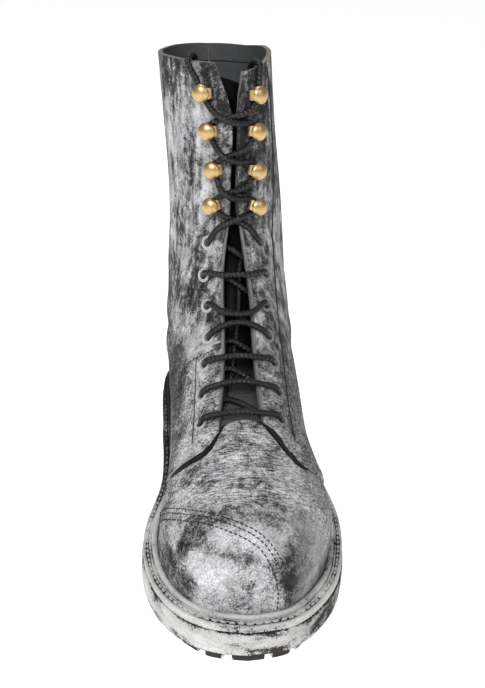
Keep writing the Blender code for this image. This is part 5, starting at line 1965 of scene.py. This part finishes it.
class BOOT_OT_stitching(bpy.types.Operator):
    """Stitch rows on the cap, quarters, facings, collar, back seam and welt"""

    bl_idname = "boot.stitching"
    bl_label = "Stitching"

    def execute(self, context):
        sizes = context.scene.boot_sizes
        tree = stitch_tree()
        pale = tuple(context.scene.boot_colours.pale)
        dark = worn_metal(
            "dark_thread", (0.010, 0.010, 0.011), roughness=0.7, metallic=0.0, chipped=(0.04, 0.04, 0.04),
        )
        waxed = dirty_shaded_sole("welt_thread", pale, BARE_WELT, cover=0.85, outer_shade=0.05)
        rows = (sizes.stitch_pitch, sizes.stitch, ROW_THREAD * MM)
        seams = (SEAM_PITCH * MM, SEAM_STITCH * MM, SEAM_THREAD * MM)
        welt = (sizes.welt_pitch, sizes.welt_stitch, WELT_THREAD * MM)
        for name, runs, (pitch, length, thickness), thread, slot in (
            ("upper_stitches", self.row_runs(), rows, dark, "worn_leather"),
            ("upper_seams", self.seam_runs(), seams, dark, "worn_leather"),
            ("welt_stitches", [self.welt_run()], welt, waxed, "welt_leather"),
        ):
            made = grown(
                name, line_mesh(name, runs), tree,
                Pitch=pitch, Length=length, Thickness=thickness, Thread=thread,
            )
            add_piece(name, made, [], slot, smooth=60)
        return {"FINISHED"}

    def row_runs(self):
        """Open rows on the toe cap, on the quarters and beside the slanting edge."""
        lift = OVERLAY_GAP + OVERLAY + 0.05
        runs = [edge_run(CAP_EDGE, SIDES, -row, lift, 0.02, 1.0) for row in CAP_ROWS_IN]
        for side in SIDES:
            for row in QUARTER_ROWS_IN:
                runs.append(edge_run(QUARTER_EDGE, [side], row, QUARTER_STEP, 0.02, 0.5))
        return [*runs, slanted_run(-SLANT_ROW_IN)]

    def seam_runs(self):
        """Close seams beside the facings, inside the collar and up the back."""
        lift = QUARTER_STEP + 0.2
        back = np.linspace(HEEL_U + 0.02, 0.99, 150)
        return [
            front_run("lateral", throat_line("stay", 3.0), lift, 0.27, 0.99),
            front_run("medial", throat_line("stay", 0.2), lift, 0.27, 0.42),
            self.collar_run(-WALL - 0.05),
            skin("medial", back, 0.0, QUARTER_STEP + 0.1 + folds("medial", back, 0.0)),
        ]

    def welt_run(self):
        """Round the sole, along the middle of the welt's channel."""
        edges = inset_edges(across_welt(0.5), OUTLINE_POINTS)
        loop = np.concatenate([edges["medial"], edges["lateral"][-2::-1]])
        return np.column_stack([loop, seat_z(loop[:, 1]) + 0.1])

    def collar_run(self, lift):
        """Round the collar, a little below its cut edge."""
        run = []
        u = 1 - COLLAR_ROW_IN / FORM_RUN
        for side in SIDES:
            v = np.linspace(v_from_front(side, u, 30.0), 0.0, 70)
            line = skin(side, u, v, lift + folds(side, u, v))
            run.append(line if side == "medial" else line[::-1])
        return np.concatenate(run)


class BOOT_OT_eyelets(bpy.types.Operator):
    """Seven pairs of rolled metal eyelets"""

    bl_idname = "boot.eyelets"
    bl_label = "Eyelets"

    def execute(self, context):
        sizes = context.scene.boot_sizes
        metal = worn_metal(
            "eyelet_metal", (0.50, 0.50, 0.50), roughness=0.45, metallic=0.3, chipped=(0.06, 0.06, 0.06),
            # The outer eyelets are darkened as painted shade.
            painted=(0.22, 0.22, 0.22),
        )
        points, angles, names = seats("eyelet", EYELETS, STAY_TOP + 0.25)
        rings = grown(
            "eyelet_rings", seat_mesh("eyelet_rings", points, angles), ring_tree(),
            Hole=sizes.eyelet_hole, Outer=sizes.eyelet_outer, Metal=metal,
        )
        add_piece("eyelet_rings", rings, [], "worn_metal", names, smooth=60)
        return {"FINISHED"}


class BOOT_OT_hooks(bpy.types.Operator):
    """Four pairs of brass lacing hooks"""

    bl_idname = "boot.hooks"
    bl_label = "Hooks"

    def execute(self, context):
        base = tuple(context.scene.boot_colours.brass)
        brass = worn_metal("hook_brass", base, roughness=0.38, metallic=1.0, chipped=(0.33, 0.20, 0.08))
        shape = bpy.data.objects.new("hook", hook_mesh(context.scene.boot_sizes.hook_dome / MM))
        context.scene.collection.objects.link(shape)
        points, angles, names = seats("hook", HOOKS, STAY_TOP)
        hooks = grown(
            "lacing_hooks", seat_mesh("lacing_hooks", points, angles), hook_tree(),
            Hook=shape, Metal=brass,
        )
        bpy.data.objects.remove(shape, do_unlink=True)
        add_piece("lacing_hooks", hooks, [], "brass", names, smooth=50)
        return {"FINISHED"}


class BOOT_OT_lace(bpy.types.Operator):
    """The lace through every eyelet and hook"""

    bl_idname = "boot.lace"
    bl_label = "Lace"

    def execute(self, context):
        cord = braided_cord("waxed_lace", tuple(context.scene.boot_colours.cord))
        route = smooth_route(lace_knots(), LACE_STEP)
        nodes = [f"lace_bar_{n}" for n in BAR_BOW]
        nodes += [f"lace_crossing_{n}" for n in range(1, len(HOOKS["u"]) + 1)]
        mesh = tube_mesh("lace_cord", route, context.scene.boot_sizes.lace_radius / MM)
        add_piece("lace_cord", mesh, [cord], "waxed_cord", nodes, smooth=60)
        return {"FINISHED"}


OPERATORS = (
    BOOT_OT_stage, BOOT_OT_lace_ends, BOOT_OT_sole, BOOT_OT_upper, BOOT_OT_toe_cap, BOOT_OT_facings,
    BOOT_OT_edges, BOOT_OT_tongue, BOOT_OT_stitching, BOOT_OT_eyelets, BOOT_OT_hooks, BOOT_OT_lace,
)


class BOOT_PT_panel(bpy.types.Panel):
    """Lists the boot's pieces, sizes and colours"""

    bl_label = "Boot"
    bl_space_type = "VIEW_3D"
    bl_region_type = "UI"
    bl_category = "Boot"

    def draw(self, context):
        for group in (context.scene.boot_sizes, context.scene.boot_colours):
            for name in group.__annotations__:
                self.layout.prop(group, name)
        for operator in OPERATORS:
            self.layout.operator(operator.bl_idname)


CLASSES = (BootSizes, BootColours, *OPERATORS, BOOT_PT_panel)


def register():
    """Adds the classes, and the sizes and colours that a scene holds."""
    for each in CLASSES:
        bpy.utils.register_class(each)
    bpy.types.Scene.boot_sizes = PointerProperty(type=BootSizes)
    bpy.types.Scene.boot_colours = PointerProperty(type=BootColours)


def unregister():
    """Takes away what register added."""
    del bpy.types.Scene.boot_sizes
    del bpy.types.Scene.boot_colours
    for each in reversed(CLASSES):
        bpy.utils.unregister_class(each)


def main():
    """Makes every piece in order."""
    register()
    for operator in OPERATORS:
        group, name = operator.bl_idname.split(".")
        getattr(getattr(bpy.ops, group), name)()


if __name__ == "__main__":
    main()
